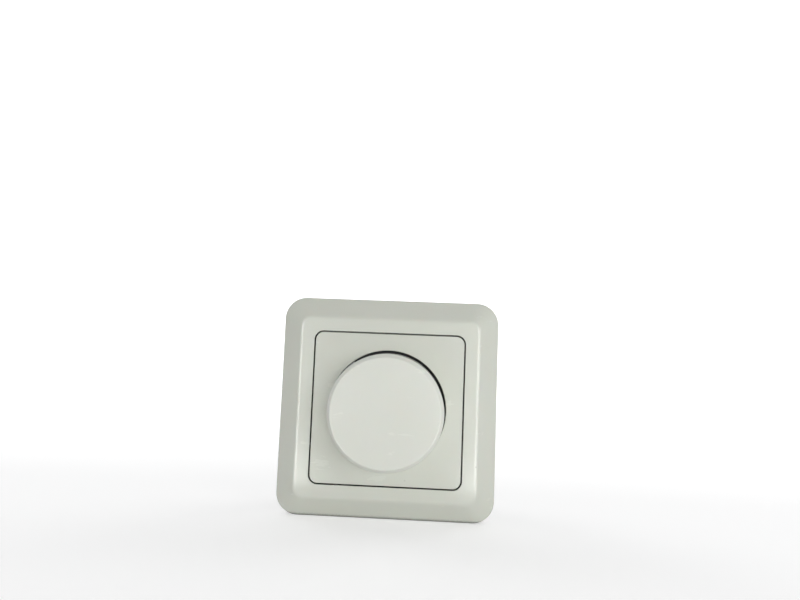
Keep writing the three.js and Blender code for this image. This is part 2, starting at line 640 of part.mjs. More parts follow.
// The coil of enamelled wire on the choke's core, with the ridges of its outer turns.
function chokeWinding() {
  const { core, rear, flange, winding } = CHOKE;
  const [z0, z1] = [rear + flange + SEAT_GAP, BOARD.rear - 0.1 - flange - SEAT_GAP];
  const turns = 5;
  const outer = [];
  for (let turn = 0; turn < turns; turn++) {
    const [low, high] = [z0 + ((z1 - z0) * turn) / turns, z0 + ((z1 - z0) * (turn + 1)) / turns];
    outer.push([winding - 0.3, low], [winding, (low + high) / 2]);
  }
  const profile = [[core + 0.1, z0], ...outer, [winding - 0.3, z1], [core + 0.1, z1], [core + 0.1, z0]];
  return turned(profile, ROUND_STEPS).translate([CHOKE.x, CHOKE.y, 0]);
}

// A boxed film capacitor behind the board. Its two leads lie along its longer side.
function boxCapacitor({ x, y, rear, pins }) {
  const front = BOARD.rear - 0.1;
  const body = block(...x, ...y, rear, front);
  return join(body, ...pins.map(([px, py]) => squarePin(px, py, front - 0.5, LEAD_REAR)));
}

const CAPACITORS = {
  suppression_capacitor: { x: [-12, 1], y: [11.5, 17.5], rear: -20.5, pins: [[-10.5, 14.5], [-0.5, 14.5]] },
  timing_capacitor: { x: [-17.6, -14.1], y: [-3.5, 4.5], rear: -17.5, pins: [[-15.85, -2.5], [-15.85, 3.5]] },
  filter_capacitor: { x: [13.2, 17.2], y: [-9.5, -1], rear: -16.5, pins: [[15.2, -8.4], [15.2, -2.1]] },
};

// A resistor or diac lying on the board's front, along y, with its leads bent down through the board.
function axialPart({ x, y, bodyRadius, bodyHalf, leadHalf }) {
  const z = BOARD.front + bodyRadius + 0.3;
  const bulge = bodyHalf * 0.35;
  return join(
    rodY(x, y - bodyHalf, y + bodyHalf, z, bodyRadius * 0.85),
    rodY(x, y - bodyHalf, y - bodyHalf + bulge, z, bodyRadius),
    rodY(x, y + bodyHalf - bulge, y + bodyHalf, z, bodyRadius),
    block(x - 0.3, x + 0.3, y - leadHalf, y + leadHalf, z - 0.3, z + 0.3),
    block(x - 0.3, x + 0.3, y - leadHalf, y - leadHalf + 0.6, LEAD_FRONT, z),
    block(x - 0.3, x + 0.3, y + leadHalf - 0.6, y + leadHalf, LEAD_FRONT, z),
  );
}

const AXIAL = {
  resistor_timing: { x: -12.4, y: -1, bodyRadius: 1.3, bodyHalf: 3.2, leadHalf: 5 },
  resistor_trigger: { x: -16.8, y: -1, bodyRadius: 1.3, bodyHalf: 3.2, leadHalf: 5 },
  resistor_snubber: { x: 17.6, y: 1, bodyRadius: 1.5, bodyHalf: 4, leadHalf: 6 },
  diac: { x: 12.6, y: 1, bodyRadius: 1, bodyHalf: 2, leadHalf: 4.5 },
};

function circuitBoard() {
  const { half, chamfer, front, rear } = BOARD;
  const hole = (x, y) => pinHole(x, y, rear, front);
  const axialHoles = Object.values(AXIAL).flatMap(({ x, y, leadHalf }) => [
    hole(x, y - leadHalf + 0.3),
    hole(x, y + leadHalf - 0.3),
  ]);
  return cut(
    prism(octagonShape(half, chamfer), rear, front),
    rod(0, 0, SHAFT.radius + 0.4, rear - 1, front + 1, ROUND_STEPS),
    ...COVER_SCREW_AT.map(([x, y]) => rod(x, y, 3.1, rear - 1, front + 1)),
    ...TRACK_PIN_AT.map((x) => hole(x, TRACK.tail + 0.7)),
    ...triacLeads.map((y) => hole(TRIAC_LEAD_X, y)),
    ...[-1, 1].map((side) => hole(side * FUSE.clipX, FUSE.y)),
    ...Object.values(CAPACITORS).flatMap(({ pins }) => pins.map(([x, y]) => hole(x, y))),
    ...axialHoles,
    ...[-1, 1].map((side) => hole(side * (CONTACT.outer - CONTACT.stem / 2), 0)),
    ...terminalPlaces.map((x) => hole(x, STRIP.back - 0.4)),
  );
}

// ---------------------------------------------------------------------------------------------------
// Push switch
// ---------------------------------------------------------------------------------------------------

function switchHousing() {
  const { halfX, halfY, wall, front, rear } = SWITCH;
  return cut(
    block(-halfX, halfX, -halfY, halfY, rear, front),
    block(-halfX + wall, halfX - wall, -halfY + wall, halfY - wall, rear + wall, front + 1),
  );
}

function switchPlunger() {
  const { half, front, rear, boss, bossFront } = PLUNGER;
  return join(block(-half, half, -half, half, rear, front), rod(0, 0, boss, front - 0.1, bossFront));
}

const bridgeTop = PLUNGER.rear - SEAT_GAP;
const bridgeBottom = bridgeTop - BRIDGE.thickness;

const contactBridge = () =>
  block(-BRIDGE.halfX, BRIDGE.halfX, -BRIDGE.halfY, BRIDGE.halfY, bridgeBottom, bridgeTop);

// An L-shaped terminal: the pad that the bridge closes on, and a stem up to the board.
function fixedContact() {
  const { inner, outer, pad, halfY, stem } = CONTACT;
  const top = bridgeBottom - PRESS_TRAVEL - 0.05;
  return join(
    block(inner, outer, -halfY, halfY, top - pad, top),
    block(outer - stem, outer, -halfY, halfY, top - pad, BOARD.rear - 0.2),
    block(outer - stem, outer, -PIN.half, PIN.half, BOARD.rear - 0.4, LEAD_REAR),
  );
}

class Coil extends THREE.Curve {
  constructor(low, high) {
    super();
    this.low = low;
    this.high = high;
  }

  getPoint(t, target = new THREE.Vector3()) {
    const angle = t * SPRING.turns * 2 * Math.PI;
    return target.set(
      SPRING.radius * Math.cos(angle),
      SPRING.radius * Math.sin(angle),
      this.low + (this.high - this.low) * t,
    );
  }
}

function returnSpring() {
  const low = SWITCH.rear + SWITCH.wall + SPRING.wire + SEAT_GAP;
  const high = bridgeBottom - SPRING.wire - SEAT_GAP;
  const section = new THREE.Shape();
  section.absarc(0, 0, SPRING.wire, 0, 2 * Math.PI);
  const wire = new THREE.ExtrudeGeometry(section, {
    steps: SPRING.turns * 12,
    curveSegments: 3,
    bevelEnabled: false,
    extrudePath: new Coil(low, high),
  });
  return solidOf(wire);
}

// ---------------------------------------------------------------------------------------------------
// Terminals
// ---------------------------------------------------------------------------------------------------

function terminalClamp(x) {
  const { y, halfX, halfY, front, rear, bar, nut } = TERMINAL;
  const cage = block(x - halfX, x + halfX, y - halfY, y + halfY, rear, front);
  const window = block(x - 2.4, x + 2.4, y - halfY - 1, y + halfY + 1, rear + nut, front - bar);
  return cut(cage, window, rod(x, y, TERMINAL_SCREW.shank + 0.12, rear - 1, rear + nut + 0.5));
}

const terminalScrew = (x, turn) =>
  screw(x, TERMINAL.y, TERMINAL_SCREW.shank, TERMINAL_SCREW.head, TERMINAL_SCREW.headFront,
    TERMINAL_SCREW.headRear, STRIP.rear - SEAT_GAP, turn);

// The fixed contact that the wire is clamped against, and its leg up to the board.
function terminalStrip(x) {
  const { half, front, rear, back } = STRIP;
  return join(
    block(x - half, x + half, TERMINAL.y - 3.6, back, rear, front),
    block(x - half, x + half, back - 0.8, back, rear, BOARD.rear - 0.2),
    squarePin(x, back - 0.4, BOARD.rear - 0.4, LEAD_REAR),
  );
}

// ---------------------------------------------------------------------------------------------------
// Assembly
// ---------------------------------------------------------------------------------------------------

const dimmer = new THREE.Group();

function add(name, solid, material) {
  const mesh = new THREE.Mesh(geometryOf(solid), material);
  mesh.name = name;
  dimmer.add(mesh);
}

add("surround_frame", surroundFrame(), MATERIAL.whitePlastic);
add("centre_plate", centrePlate(), MATERIAL.whitePlastic);
add("rotary_knob", rotaryKnob(), MATERIAL.whitePlastic);
add("knob_grip_spring", gripSpring(), MATERIAL.springSteel);
add("control_shaft", controlShaft(), MATERIAL.greyPlastic);
add("shaft_retaining_ring", retainingRing(), MATERIAL.springSteel);

add("support_plate", supportPlate(), MATERIAL.zincSteel);
add("front_cover", frontCover(), MATERIAL.blackPlastic);
add("bush_nut", bushNut(), MATERIAL.zincSteel);
add("lock_washer", lockWasher(), MATERIAL.springSteel);
add("cover_screw_upper", coverScrew(COVER_SCREW_AT[0]), MATERIAL.zincSteel);
add("cover_screw_lower", coverScrew(COVER_SCREW_AT[1]), MATERIAL.zincSteel);
add("insert_housing", insertHousing(), MATERIAL.blackPlastic);

add("potentiometer_body", potentiometerBody(), MATERIAL.greyPlastic);
add("resistive_track", resistiveTrack(), MATERIAL.phenolic);
TRACK_PIN_AT.forEach((x, n) => add(`track_pin_${n + 1}`, trackPin(x), MATERIAL.brass));
add("wiper_carrier", wiperCarrier(), MATERIAL.greyPlastic);
add("wiper_contact", wiperContact(), MATERIAL.brass);

add("circuit_board", circuitBoard(), MATERIAL.phenolic);
add("triac", triac(), MATERIAL.blackPlastic);
add("triac_insulator", triacInsulator(), MATERIAL.greyPlastic);
add("triac_screw", triacScrew(), MATERIAL.zincSteel);
add("fuse_link", fuseLink(), MATERIAL.glass);
add("fuse_clip_left", fuseClip(-1), MATERIAL.springSteel);
add("fuse_clip_right", fuseClip(1), MATERIAL.springSteel);
add("choke_core", chokeCore(), MATERIAL.ferrite);
add("choke_winding", chokeWinding(), MATERIAL.copper);
for (const [name, layout] of Object.entries(CAPACITORS)) add(name, boxCapacitor(layout), MATERIAL.film);
for (const [name, layout] of Object.entries(AXIAL)) add(name, axialPart(layout), MATERIAL.ceramic);

add("switch_housing", switchHousing(), MATERIAL.blackPlastic);
add("switch_plunger", switchPlunger(), MATERIAL.whitePlastic);
add("contact_bridge", contactBridge(), MATERIAL.brass);
add("return_spring", returnSpring(), MATERIAL.springSteel);
add("fixed_contact_right", fixedContact(), MATERIAL.brass);
add("fixed_contact_left", opposite(fixedContact()), MATERIAL.brass);

terminalPlaces.forEach((x, n) => {
  add(`terminal_clamp_${n + 1}`, terminalClamp(x), MATERIAL.zincSteel);
  add(`terminal_screw_${n + 1}`, terminalScrew(x, 25 + 40 * n), MATERIAL.zincSteel);
  add(`terminal_strip_${n + 1}`, terminalStrip(x), MATERIAL.brass);
});

add("claw_right", claw(), MATERIAL.zincSteel);
add("claw_left", opposite(claw()), MATERIAL.zincSteel);
add("claw_nut_right", clawNut(), MATERIAL.zincSteel);
add("claw_nut_left", opposite(clawNut()), MATERIAL.zincSteel);
add("claw_screw_right", clawScrew(), MATERIAL.zincSteel);
add("claw_screw_left", opposite(clawScrew()), MATERIAL.zincSteel);

dimmer.rotation.x = Math.PI / 2;
dimmer.position.z = FRAME.half - FRAME.rim / 2;

export default dimmer;
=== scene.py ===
"""A flush-mounted rotary wall dimmer in white plastic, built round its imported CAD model.

Shapes are made in the device's own frame, in millimetres: x to the right, y up the wall and z straight out of
the wall, with z = 0 on the wall's surface. DEVICE_TO_WORLD turns them into the CAD model's frame, in metres.
"""

import json
from collections import namedtuple
from math import atan2, cos, dist, pi, radians, sin, sqrt, tan

import bmesh
import bpy
from mathutils import Matrix, Vector


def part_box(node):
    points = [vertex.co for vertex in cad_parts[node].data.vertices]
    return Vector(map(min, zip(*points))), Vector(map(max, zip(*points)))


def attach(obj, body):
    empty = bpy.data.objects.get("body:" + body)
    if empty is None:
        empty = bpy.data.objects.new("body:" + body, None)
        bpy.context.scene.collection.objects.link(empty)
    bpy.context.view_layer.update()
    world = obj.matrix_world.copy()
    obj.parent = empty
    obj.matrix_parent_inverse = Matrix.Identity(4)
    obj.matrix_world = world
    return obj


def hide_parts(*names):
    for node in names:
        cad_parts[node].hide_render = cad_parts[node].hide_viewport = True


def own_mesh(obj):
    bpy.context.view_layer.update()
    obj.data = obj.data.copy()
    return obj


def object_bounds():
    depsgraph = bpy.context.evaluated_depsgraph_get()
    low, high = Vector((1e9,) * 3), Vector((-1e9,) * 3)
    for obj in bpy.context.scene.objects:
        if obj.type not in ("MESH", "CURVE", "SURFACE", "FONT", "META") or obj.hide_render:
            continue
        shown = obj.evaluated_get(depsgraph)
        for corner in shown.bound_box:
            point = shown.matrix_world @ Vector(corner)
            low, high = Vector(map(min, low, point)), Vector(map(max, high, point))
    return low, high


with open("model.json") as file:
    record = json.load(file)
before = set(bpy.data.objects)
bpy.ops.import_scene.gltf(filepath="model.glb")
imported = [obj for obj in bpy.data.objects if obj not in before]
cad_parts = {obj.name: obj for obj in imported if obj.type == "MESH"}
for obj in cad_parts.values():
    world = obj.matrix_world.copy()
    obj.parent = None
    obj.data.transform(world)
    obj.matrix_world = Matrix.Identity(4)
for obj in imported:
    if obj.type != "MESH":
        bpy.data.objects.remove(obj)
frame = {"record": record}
CAD_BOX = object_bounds()

MM = 0.001
KNOB_HEIGHT = sum(corner.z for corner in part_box("rotary_knob")) / 2
DEVICE_TO_WORLD = Matrix(((MM, 0, 0, 0), (0, 0, -MM, 0), (0, MM, 0, KNOB_HEIGHT), (0, 0, 0, 1)))
FULL_TURN = 2 * pi
HALF_TURN = Matrix.Rotation(pi, 4, "Z")
CORNERS = ((1, 1), (-1, 1), (-1, -1), (1, -1))
TINY = 1e-4
SHARP_EDGE = radians(35)

BODY_OF = {node: body for body, nodes in frame["record"]["behaviour"]["bodies"].items() for node in nodes}
SLOT_OF = {part["node"]: part["material_slot"] for part in frame["record"]["subparts"]}

Span = namedtuple("Span", "x0 x1 y0 y1 z0 z1")


def span(node):
    """A CAD node's box in the device's frame."""
    low, high = (DEVICE_TO_WORLD.inverted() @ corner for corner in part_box(node))
    return Span(low.x, high.x, low.y, high.y, high.z, low.z)


# ---- Meshes ----


def new_object(name, data):
    made = bpy.data.objects.new(name, data)
    bpy.context.scene.collection.objects.link(made)
    return made


def mesh_object(bm):
    """A new object that holds this bmesh, still in millimetres and in the device's frame."""
    bmesh.ops.recalc_face_normals(bm, faces=bm.faces)
    mesh = bpy.data.meshes.new("made")
    bm.to_mesh(mesh)
    bm.free()
    return new_object("made", mesh)


def ringed(rings, loop=False):
    """Skin over rings of equally many points. A ring of one point is a pole, and an open run is capped."""
    bm = bmesh.new()
    made = [[bm.verts.new(point) for point in ring] for ring in rings]
    pairs = list(zip(made, made[1:]))
    if loop:
        pairs.append((made[-1], made[0]))
    for low, high in pairs:
        count = max(len(low), len(high))
        for i in range(count):
            j = (i + 1) % count
            corners = [low[i % len(low)], low[j % len(low)], high[j % len(high)], high[i % len(high)]]
            bm.faces.new(list(dict.fromkeys(corners)))
    if not loop:
        for ring in (made[0], made[-1]):
            if len(ring) > 2:
                bm.faces.new(ring)
    return mesh_object(bm)


def turned_ring(reach_at, z, steps):
    """A ring about z. `reach_at` gives its radius at each share, 0 to 1, of the way round."""
    ring = []
    for i in range(steps):
        reach, turn = reach_at(i / steps), FULL_TURN * i / steps
        ring.append((reach * cos(turn), reach * sin(turn), z))
    return ring


def circle(radius, z, steps):
    return [(0, 0, z)] if radius < TINY else turned_ring(lambda share: radius, z, steps)


def circles(profile, steps):
    return [circle(radius, z, steps) for radius, z in profile]


def turned(profile, steps=96):
    """A [radius, z] profile turned about z. It starts and ends on the axis, or closes on itself."""
    loop = profile[0][0] > 0
    return ringed(circles(profile, steps), loop=loop)


def rounded(corners, closed=True, steps=6):
    """A section with arcs at its corners. Each corner is (across, along, radius)."""
    points = []
    count = len(corners)
    for i, (x, y, radius) in enumerate(corners):
        here = Vector((x, y))
        if radius <= 0 or (not closed and i in (0, count - 1)):
            points.append((x, y))
            continue
        before = (Vector(corners[i - 1][:2]) - here).normalized()
        after = (Vector(corners[(i + 1) % count][:2]) - here).normalized()
        half_angle = before.angle(after) / 2
        reach = radius / tan(half_angle)
        centre = here + (before + after).normalized() * (radius / sin(half_angle))
        start, end = here + before * reach - centre, here + after * reach - centre
        sweep = start.angle_signed(end)
        for step in range(steps + 1):
            offset = start.copy()
            offset.rotate(Matrix.Rotation(-sweep * step / steps, 2))
            points.append(tuple(centre + offset))
    return points


def arced(line, steps):
    """An open line with arcs at its corners."""
    return rounded(line, False, steps)


def rounded_box(half_x, half_y, radius, steps):
    """The outline of a rectangle with an arc at each corner."""
    points = []
    for quarter, (sx, sy) in enumerate(CORNERS):
        for step in range(steps + 1):
            turn = (quarter + step / steps) * pi / 2
            x = sx * (half_x - radius) + radius * cos(turn)
            y = sy * (half_y - radius) + radius * sin(turn)
            points.append((x, y))
    return points


def square_ring(half, radius, z):
    return [(x, y, z) for x, y in rounded_box(half, half, radius, 18)]


def polar_square(half, radius, z, steps):
    """The same square, with its points at even angles, so that its ring can join a circle."""
    inner = half - radius

    def reach_at(share):
        turn = FULL_TURN * share
        dx, dy = abs(cos(turn)), abs(sin(turn))
        reach = half / max(dx, dy)
        if reach * min(dx, dy) > inner:
            along = (dx + dy) * inner
            reach = along + sqrt(along * along - 2 * inner * inner + radius * radius)
        return reach

    return turned_ring(reach_at, z, steps)


def prism(outline, z0, z1):
    return ringed([[(x, y, z) for x, y in outline] for z in (z0, z1)])


def block(x0, x1, y0, y1, z0, z1):
    return prism([(x0, y0), (x1, y0), (x1, y1), (x0, y1)], z0, z1)


def rod(x, y, radius, z0, z1, steps=64):
    return prism([(x + dx, y + dy) for dx, dy, _ in circle(radius, 0, steps)], z0, z1)


def slotted(x, y, half_x, half_y, z0, z1, steps=16):
    """An obround prism."""
    outline = []
    for dx, dy in rounded_box(half_x, half_y, min(half_x, half_y), steps):
        point = (x + dx, y + dy)
        if not outline or min(dist(point, outline[-1]), dist(point, outline[0])) > TINY:
            outline.append(point)
    return prism(outline, z0, z1)


def slab(section, y0, y1):
    """An outline in the x-z plane drawn out along y."""
    return ringed([[(x, y, z) for x, z in section] for y in (y0, y1)])


def along_path(path, steps):
    """The points of a bent middle line, as for `rounded`, each with the direction across the line."""
    middle = [Vector(point) for point in arced(path, steps)]
    pairs = []
    for i, point in enumerate(middle):
        along = (middle[min(i + 1, len(middle) - 1)] - middle[max(i - 1, 0)]).normalized()
        pairs.append((point, Vector((-along.y, along.x))))
    return pairs


def strip(path, thickness):
    """The closed section of a bent strip."""
    pairs = along_path(path, 5)
    left = [tuple(point + across * thickness / 2) for point, across in pairs]
    right = [tuple(point - across * thickness / 2) for point, across in pairs]
    return left + right[::-1]


def bent_wire(x, path, radius):
    """A round wire bent in the y-z plane."""
    rings = []
    for point, across in along_path(path, 6):
        sides = [(dx, point + across * dy) for dx, dy, _ in circle(radius, 0, 16)]
        rings.append([(x + dx, side.x, side.y) for dx, side in sides])
    return ringed(rings)


def pin(x, y, z0, z1):
    """A square pin with tapered ends."""
    half, tip = 0.38, 0.35
    rings = []
    for z, reach in ((z0, half * 0.55), (z0 + tip, half), (z1 - tip, half), (z1, half * 0.55)):
        rings.append([(x + sx * reach, y + sy * reach, z) for sx, sy in CORNERS])
    return ringed(rings)


def pin_hole(x, y, z0, z1):
    half = 0.45
    return block(x - half, x + half, y - half, y + half, z0 - 1, z1 + 1)


def moved(made, matrix):
    made.data.transform(matrix)
    return made


def shifted(made, x, y, z=0):
    return moved(made, Matrix.Translation((x, y, z)))


def laid(made, axis, place):
    """Lays a turned piece along x or y, and moves it into place."""
    turn = Matrix.Rotation(pi / 2, 4, "Y") if axis == "x" else Matrix.Rotation(-pi / 2, 4, "X")
    return shifted(moved(made, turn), *place)


def heap(*pieces):
    """One object that holds all of these, which must not touch."""
    bm = bmesh.new()
    for piece in pieces:
        bm.from_mesh(piece.data)
        bpy.data.objects.remove(piece)
    return mesh_object(bm)


def half_turned(made):
    """A copy of this object, turned half round the knob's axis."""
    twin = made.copy()
    twin.data = made.data.copy()
    bpy.context.scene.collection.objects.link(twin)
    return moved(twin, HALF_TURN)


def on_side(made, sign):
    """Turns a piece made on the right half round, where it belongs on the left."""
    return made if sign > 0 else moved(made, HALF_TURN)


def bake(made):
    """Applies the object's modifiers."""
    depsgraph = bpy.context.evaluated_depsgraph_get()
    baked = bpy.data.meshes.new_from_object(made.evaluated_get(depsgraph), depsgraph=depsgraph)
    before = made.data
    made.modifiers.clear()
    made.data = baked
    bpy.data.meshes.remove(before)
    return made


def combine(made, others, operation):
    for other in others:
        step = made.modifiers.new("step", "BOOLEAN")
        step.operation, step.object, step.solver = operation, other, "EXACT"
        bake(made)
        bpy.data.objects.remove(other)
    return made


def join(made, *others):
    return combine(made, others, "UNION")


def cut(made, *others):
    return combine(made, others, "DIFFERENCE")


def bevelled(made, width, segments=2):
    """Rounds every edge sharper than SHARP_EDGE."""
    step = made.modifiers.new("edges", "BEVEL")
    step.width, step.segments = width, segments
    step.limit_method, step.angle_limit = "ANGLE", SHARP_EDGE
    return bake(made)


def finish(made, name, node, material=None, smooth=35):
    """Puts a made piece in the world in place of its CAD node, riding on its body."""
    made.name = name
    mesh = made.data
    mesh.name = name
    bm = bmesh.new()
    bm.from_mesh(mesh)
    bmesh.ops.remove_doubles(bm, verts=bm.verts, dist=TINY)
    bmesh.ops.recalc_face_normals(bm, faces=bm.faces)
    bm.to_mesh(mesh)
    bm.free()
    mesh.transform(DEVICE_TO_WORLD)
    mesh.shade_smooth()
    mesh.set_sharp_from_angle(angle=radians(smooth))
    mesh.materials.clear()
    mesh.materials.append(material or FINISH[SLOT_OF[node]])
    made.modifiers.new("normals", "WEIGHTED_NORMAL").keep_sharp = True
    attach(made, BODY_OF[node])
    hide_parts(node)
    return made


def repaint(made, material, chosen):
    """Gives a finished piece's faces this material where their middle, in the device's frame, is chosen."""
    made.data.materials.append(material)
    to_device = DEVICE_TO_WORLD.inverted()
    for polygon in made.data.polygons:
        if chosen(to_device @ polygon.center):
            polygon.material_index = len(made.data.materials) - 1


# ---- Materials ----


class Surface:
    """A node material on a Principled shader. Its patterns follow the piece, at real size, in metres."""

    def __init__(self, name, **values):
        self.material = bpy.data.materials.new(name)
        self.material.use_nodes = True
        self.tree = self.material.node_tree
        self.shader = self.tree.nodes["Principled BSDF"]
        self.place = self.add("TexCoord").outputs["Object"]
        self.height = None
        for key, value in values.items():
            self.set(key.replace("_", " "), value)

    def feed(self, socket, value):
        """Links an output into this socket, or sets its value. A colour is red, green and blue."""
        if isinstance(value, bpy.types.NodeSocket):
            self.tree.links.new(value, socket)
        else:
            socket.default_value = (*value, 1.0) if socket.type == "RGBA" else value

    def set(self, key, value):
        self.feed(self.shader.inputs[key], value)

    def add(self, kind, inputs=None, **settings):
        made = self.tree.nodes.new("ShaderNode" + kind)
        for key, value in settings.items():
            setattr(made, key, value)
        for key, value in (inputs or {}).items():
            self.feed(made.inputs[key], value)
        return made

    def math(self, operation, a, b):
        return self.add("Math", {0: a, 1: b}, operation=operation).outputs[0]

    def mapped(self, shift, stretch=(1, 1, 1)):
        inputs = {"Vector": self.place, "Scale": stretch, "Location": [shift] * 3}
        return self.add("Mapping", inputs).outputs[0]

    def noise(self, size_mm, stretch=(1, 1, 1), detail=3.0, rough=0.55, shift=0.0):
        """Noise with features of this size, from 0 to 1."""
        inputs = {"Vector": self.mapped(shift, stretch), "Scale": 1 / (size_mm * MM)}
        inputs.update({"Detail": detail, "Roughness": rough})
        return self.add("TexNoise", inputs).outputs["Fac"]

    def between(self, value, low, high, out_low=0.0, out_high=1.0):
        inputs = {"Value": value, "From Min": low, "From Max": high, "To Min": out_low, "To Max": out_high}
        return self.add("MapRange", inputs, clamp=True).outputs[0]

    def mix(self, pattern, first, second, share=1.0):
        """`second` over `first` where the pattern is 1, at this share of its strength."""
        factor = pattern if share == 1 else self.math("MULTIPLY", pattern, share)
        inputs = {"Factor": factor, "A": first, "B": second}
        return self.add("Mix", inputs, data_type="RGBA").outputs["Result"]

    def add_height(self, value, depth_mm):
        """Adds a pattern to the surface's relief."""
        layer = self.math("MULTIPLY", value, depth_mm * MM)
        self.height = layer if self.height is None else self.math("ADD", self.height, layer)

    def edges(self, radius_mm):
        """1 on the piece's edges, 0 on its flats."""
        soft = self.add("Bevel", {"Radius": radius_mm * MM}, samples=4).outputs[0]
        true = self.add("NewGeometry").outputs["Normal"]
        alike = self.add("VectorMath", {0: soft, 1: true}, operation="DOT_PRODUCT").outputs["Value"]
        return self.between(alike, 0.995, 0.88)

    def crevices(self, reach_mm):
        """1 deep in corners, 0 in the open."""
        open_sky = self.add("AmbientOcclusion", {"Distance": reach_mm * MM}, samples=6).outputs["AO"]
        return self.between(open_sky, 0.64, 0.22)

    def specks(self, spacing_mm, size, share, shift=0.0):
        """Small scattered marks, as 0 to 1. `share` of the cells hold one."""
        inputs = {"Vector": self.mapped(shift), "Scale": 1 / (spacing_mm * MM), "Randomness": 1.0}
        cells = self.add("TexVoronoi", inputs)
        near = self.between(cells.outputs["Distance"], size, size * 0.4)
        chosen = self.add("SeparateColor", {0: cells.outputs["Color"]}).outputs[0]
        return self.math("MULTIPLY", near, self.math("LESS_THAN", chosen, share))

    def done(self, strength=1.0):
        if self.height is not None:
            inputs = {"Height": self.height, "Strength": strength, "Distance": 1.0}
            self.set("Normal", self.add("Bump", inputs).outputs[0])
        return self.material


def scaled(base, factor, lift=0.0):
    """A lighter or darker version of this colour."""
    return tuple(min(1, channel * factor + lift) for channel in base)


def white_plastic(name, base, shift, marked=0.3):
    """Glossy white thermoplastic: faint moulded grain, handling marks, and painted shade that darkens its
    gaps almost to black.
    """
    s = Surface(name, IOR=1.5, Subsurface_Weight=0.06, Subsurface_Scale=0.001)
    yellowed = tuple(channel * factor for channel, factor in zip(base, (0.985, 0.98, 0.955)))
    tint = s.mix(s.between(s.noise(22, shift=shift), 0.3, 0.7), base, yellowed, 0.5)
    tint = s.mix(s.specks(7, 0.07, marked, shift), tint, (0.42, 0.42, 0.38), 0.38)
    # Painted shade: gaps and tight corners darkened almost to black, where the light does not reach.
    tint = s.mix(s.crevices(2.0), tint, (0.12, 0.12, 0.105), 0.96)
    s.set("Base Color", s.mix(s.edges(0.5), tint, scaled(base, 1.06), 0.35))
    rub = s.noise(14, stretch=(1, 1, 3), detail=6, shift=shift + 1)
    scratch = s.between(s.noise(1.1, stretch=(0.05, 1, 1), detail=2, shift=shift + 2), 0.62, 0.70)
    s.set("Roughness", s.math("ADD", s.between(rub, 0.3, 0.7, 0.2, 0.28), s.math("MULTIPLY", scratch, 0.015)))
    s.add_height(s.noise(0.35, detail=2, shift=shift), 0.0014)
    s.add_height(s.noise(5, detail=1, shift=shift), 0.010)
    s.add_height(scratch, -0.0002)
    return s.done(0.6)


def moulded_plastic(name, base, rough, grain=0.012):
    """Matt moulded plastic with a spark-eroded grain, flow marks and rubbed edges."""
    s = Surface(name, IOR=1.52)
    flow = s.between(s.noise(9, stretch=(1, 1, 0.3)), 0.3, 0.7)
    tint = s.mix(flow, base, scaled(base, 1.35, 0.01), 0.35)
    tint = s.mix(s.edges(0.35), tint, scaled(base, 1.9, 0.03), 0.5)
    dust = s.between(s.noise(1.6, detail=8, rough=0.7), 0.58, 0.75)
    s.set("Base Color", s.mix(dust, tint, (0.45, 0.43, 0.40), 0.10))
    s.set("Roughness", s.between(s.noise(4, detail=5), 0.3, 0.7, rough - 0.08, rough + 0.10))
    s.add_height(s.noise(0.22, detail=3, rough=0.7), grain)
    return s.done(0.8)


def metal(name, base, rough, brushed, tarnish):
    """Bare or plated metal: drawn lines, blotchy tarnish and bright rubbed edges."""
    s = Surface(name, Metallic=1.0)
    blotch = s.between(s.noise(6, detail=6, rough=0.65), 0.42, 0.68)
    tint = s.mix(blotch, base, tarnish, 0.55)
    tint = s.mix(s.crevices(0.8), tint, scaled(tarnish, 0.35), 0.5)
    s.set("Base Color", s.mix(s.edges(0.2), tint, scaled(base, 1.2, 0.05), 0.25))
    lines = s.noise(0.18, stretch=brushed, detail=3)
    shine = s.between(blotch, 0, 1, rough, rough + 0.16)
    s.set("Roughness", s.math("ADD", shine, s.between(lines, 0.3, 0.7, -0.05, 0.06)))
    s.add_height(lines, 0.004)
    return s.done(0.7)


def laminate(name, base):
    """Pressed paper laminate: fibres, a copper-free side and soldering stains."""
    s = Surface(name, IOR=1.55)
    fibres = s.between(s.noise(0.5, stretch=(1, 1, 0.12), detail=5), 0.35, 0.65)
    tint = s.mix(fibres, base, scaled(base, 0.72))
    s.set("Base Color", s.mix(s.between(s.noise(7, detail=5), 0.5, 0.7), tint, scaled(base, 0.45), 0.35))
    s.set("Roughness", s.between(fibres, 0, 1, 0.42, 0.6))
    s.add_height(fibres, 0.01)
    return s.done()


def granular(name, base, rough, pit):
    """Fired ceramic or ferrite: a fine grain with pits."""
    s = Surface(name, IOR=1.6)
    grain = s.noise(0.3, detail=6, rough=0.7)
    pits = s.specks(0.8, 0.25, 0.3)
    tint = s.mix(s.between(grain, 0.35, 0.7), base, scaled(base, 0.7))
    s.set("Base Color", s.mix(pits, tint, scaled(base, 0.4), 0.6))
    s.set("Roughness", s.between(grain, 0.3, 0.7, rough - 0.1, rough + 0.1))
    s.add_height(grain, 0.012)
    s.add_height(pits, -pit)
    return s.done()


def enamelled_wire(name, base):
    """Varnished copper wire, uneven in the depth of its varnish, with painted shade, near black, in the
    grooves between its turns.
    """
    s = Surface(name, Metallic=0.85, Coat_Weight=0.8, Coat_Roughness=0.12)
    varnish = s.between(s.noise(2.5, detail=4), 0.35, 0.7)
    tint = s.mix(varnish, base, (base[0] * 0.75, base[1] * 0.6, base[2] * 0.5))
    # Painted shade: near black in the grooves between the turns.
    s.set("Base Color", s.mix(s.crevices(0.5), tint, (0.05, 0.02, 0.01), 0.7))
    s.set("Roughness", s.between(varnish, 0, 1, 0.22, 0.38))
    s.add_height(s.noise(0.3, detail=2), 0.006)
    return s.done()


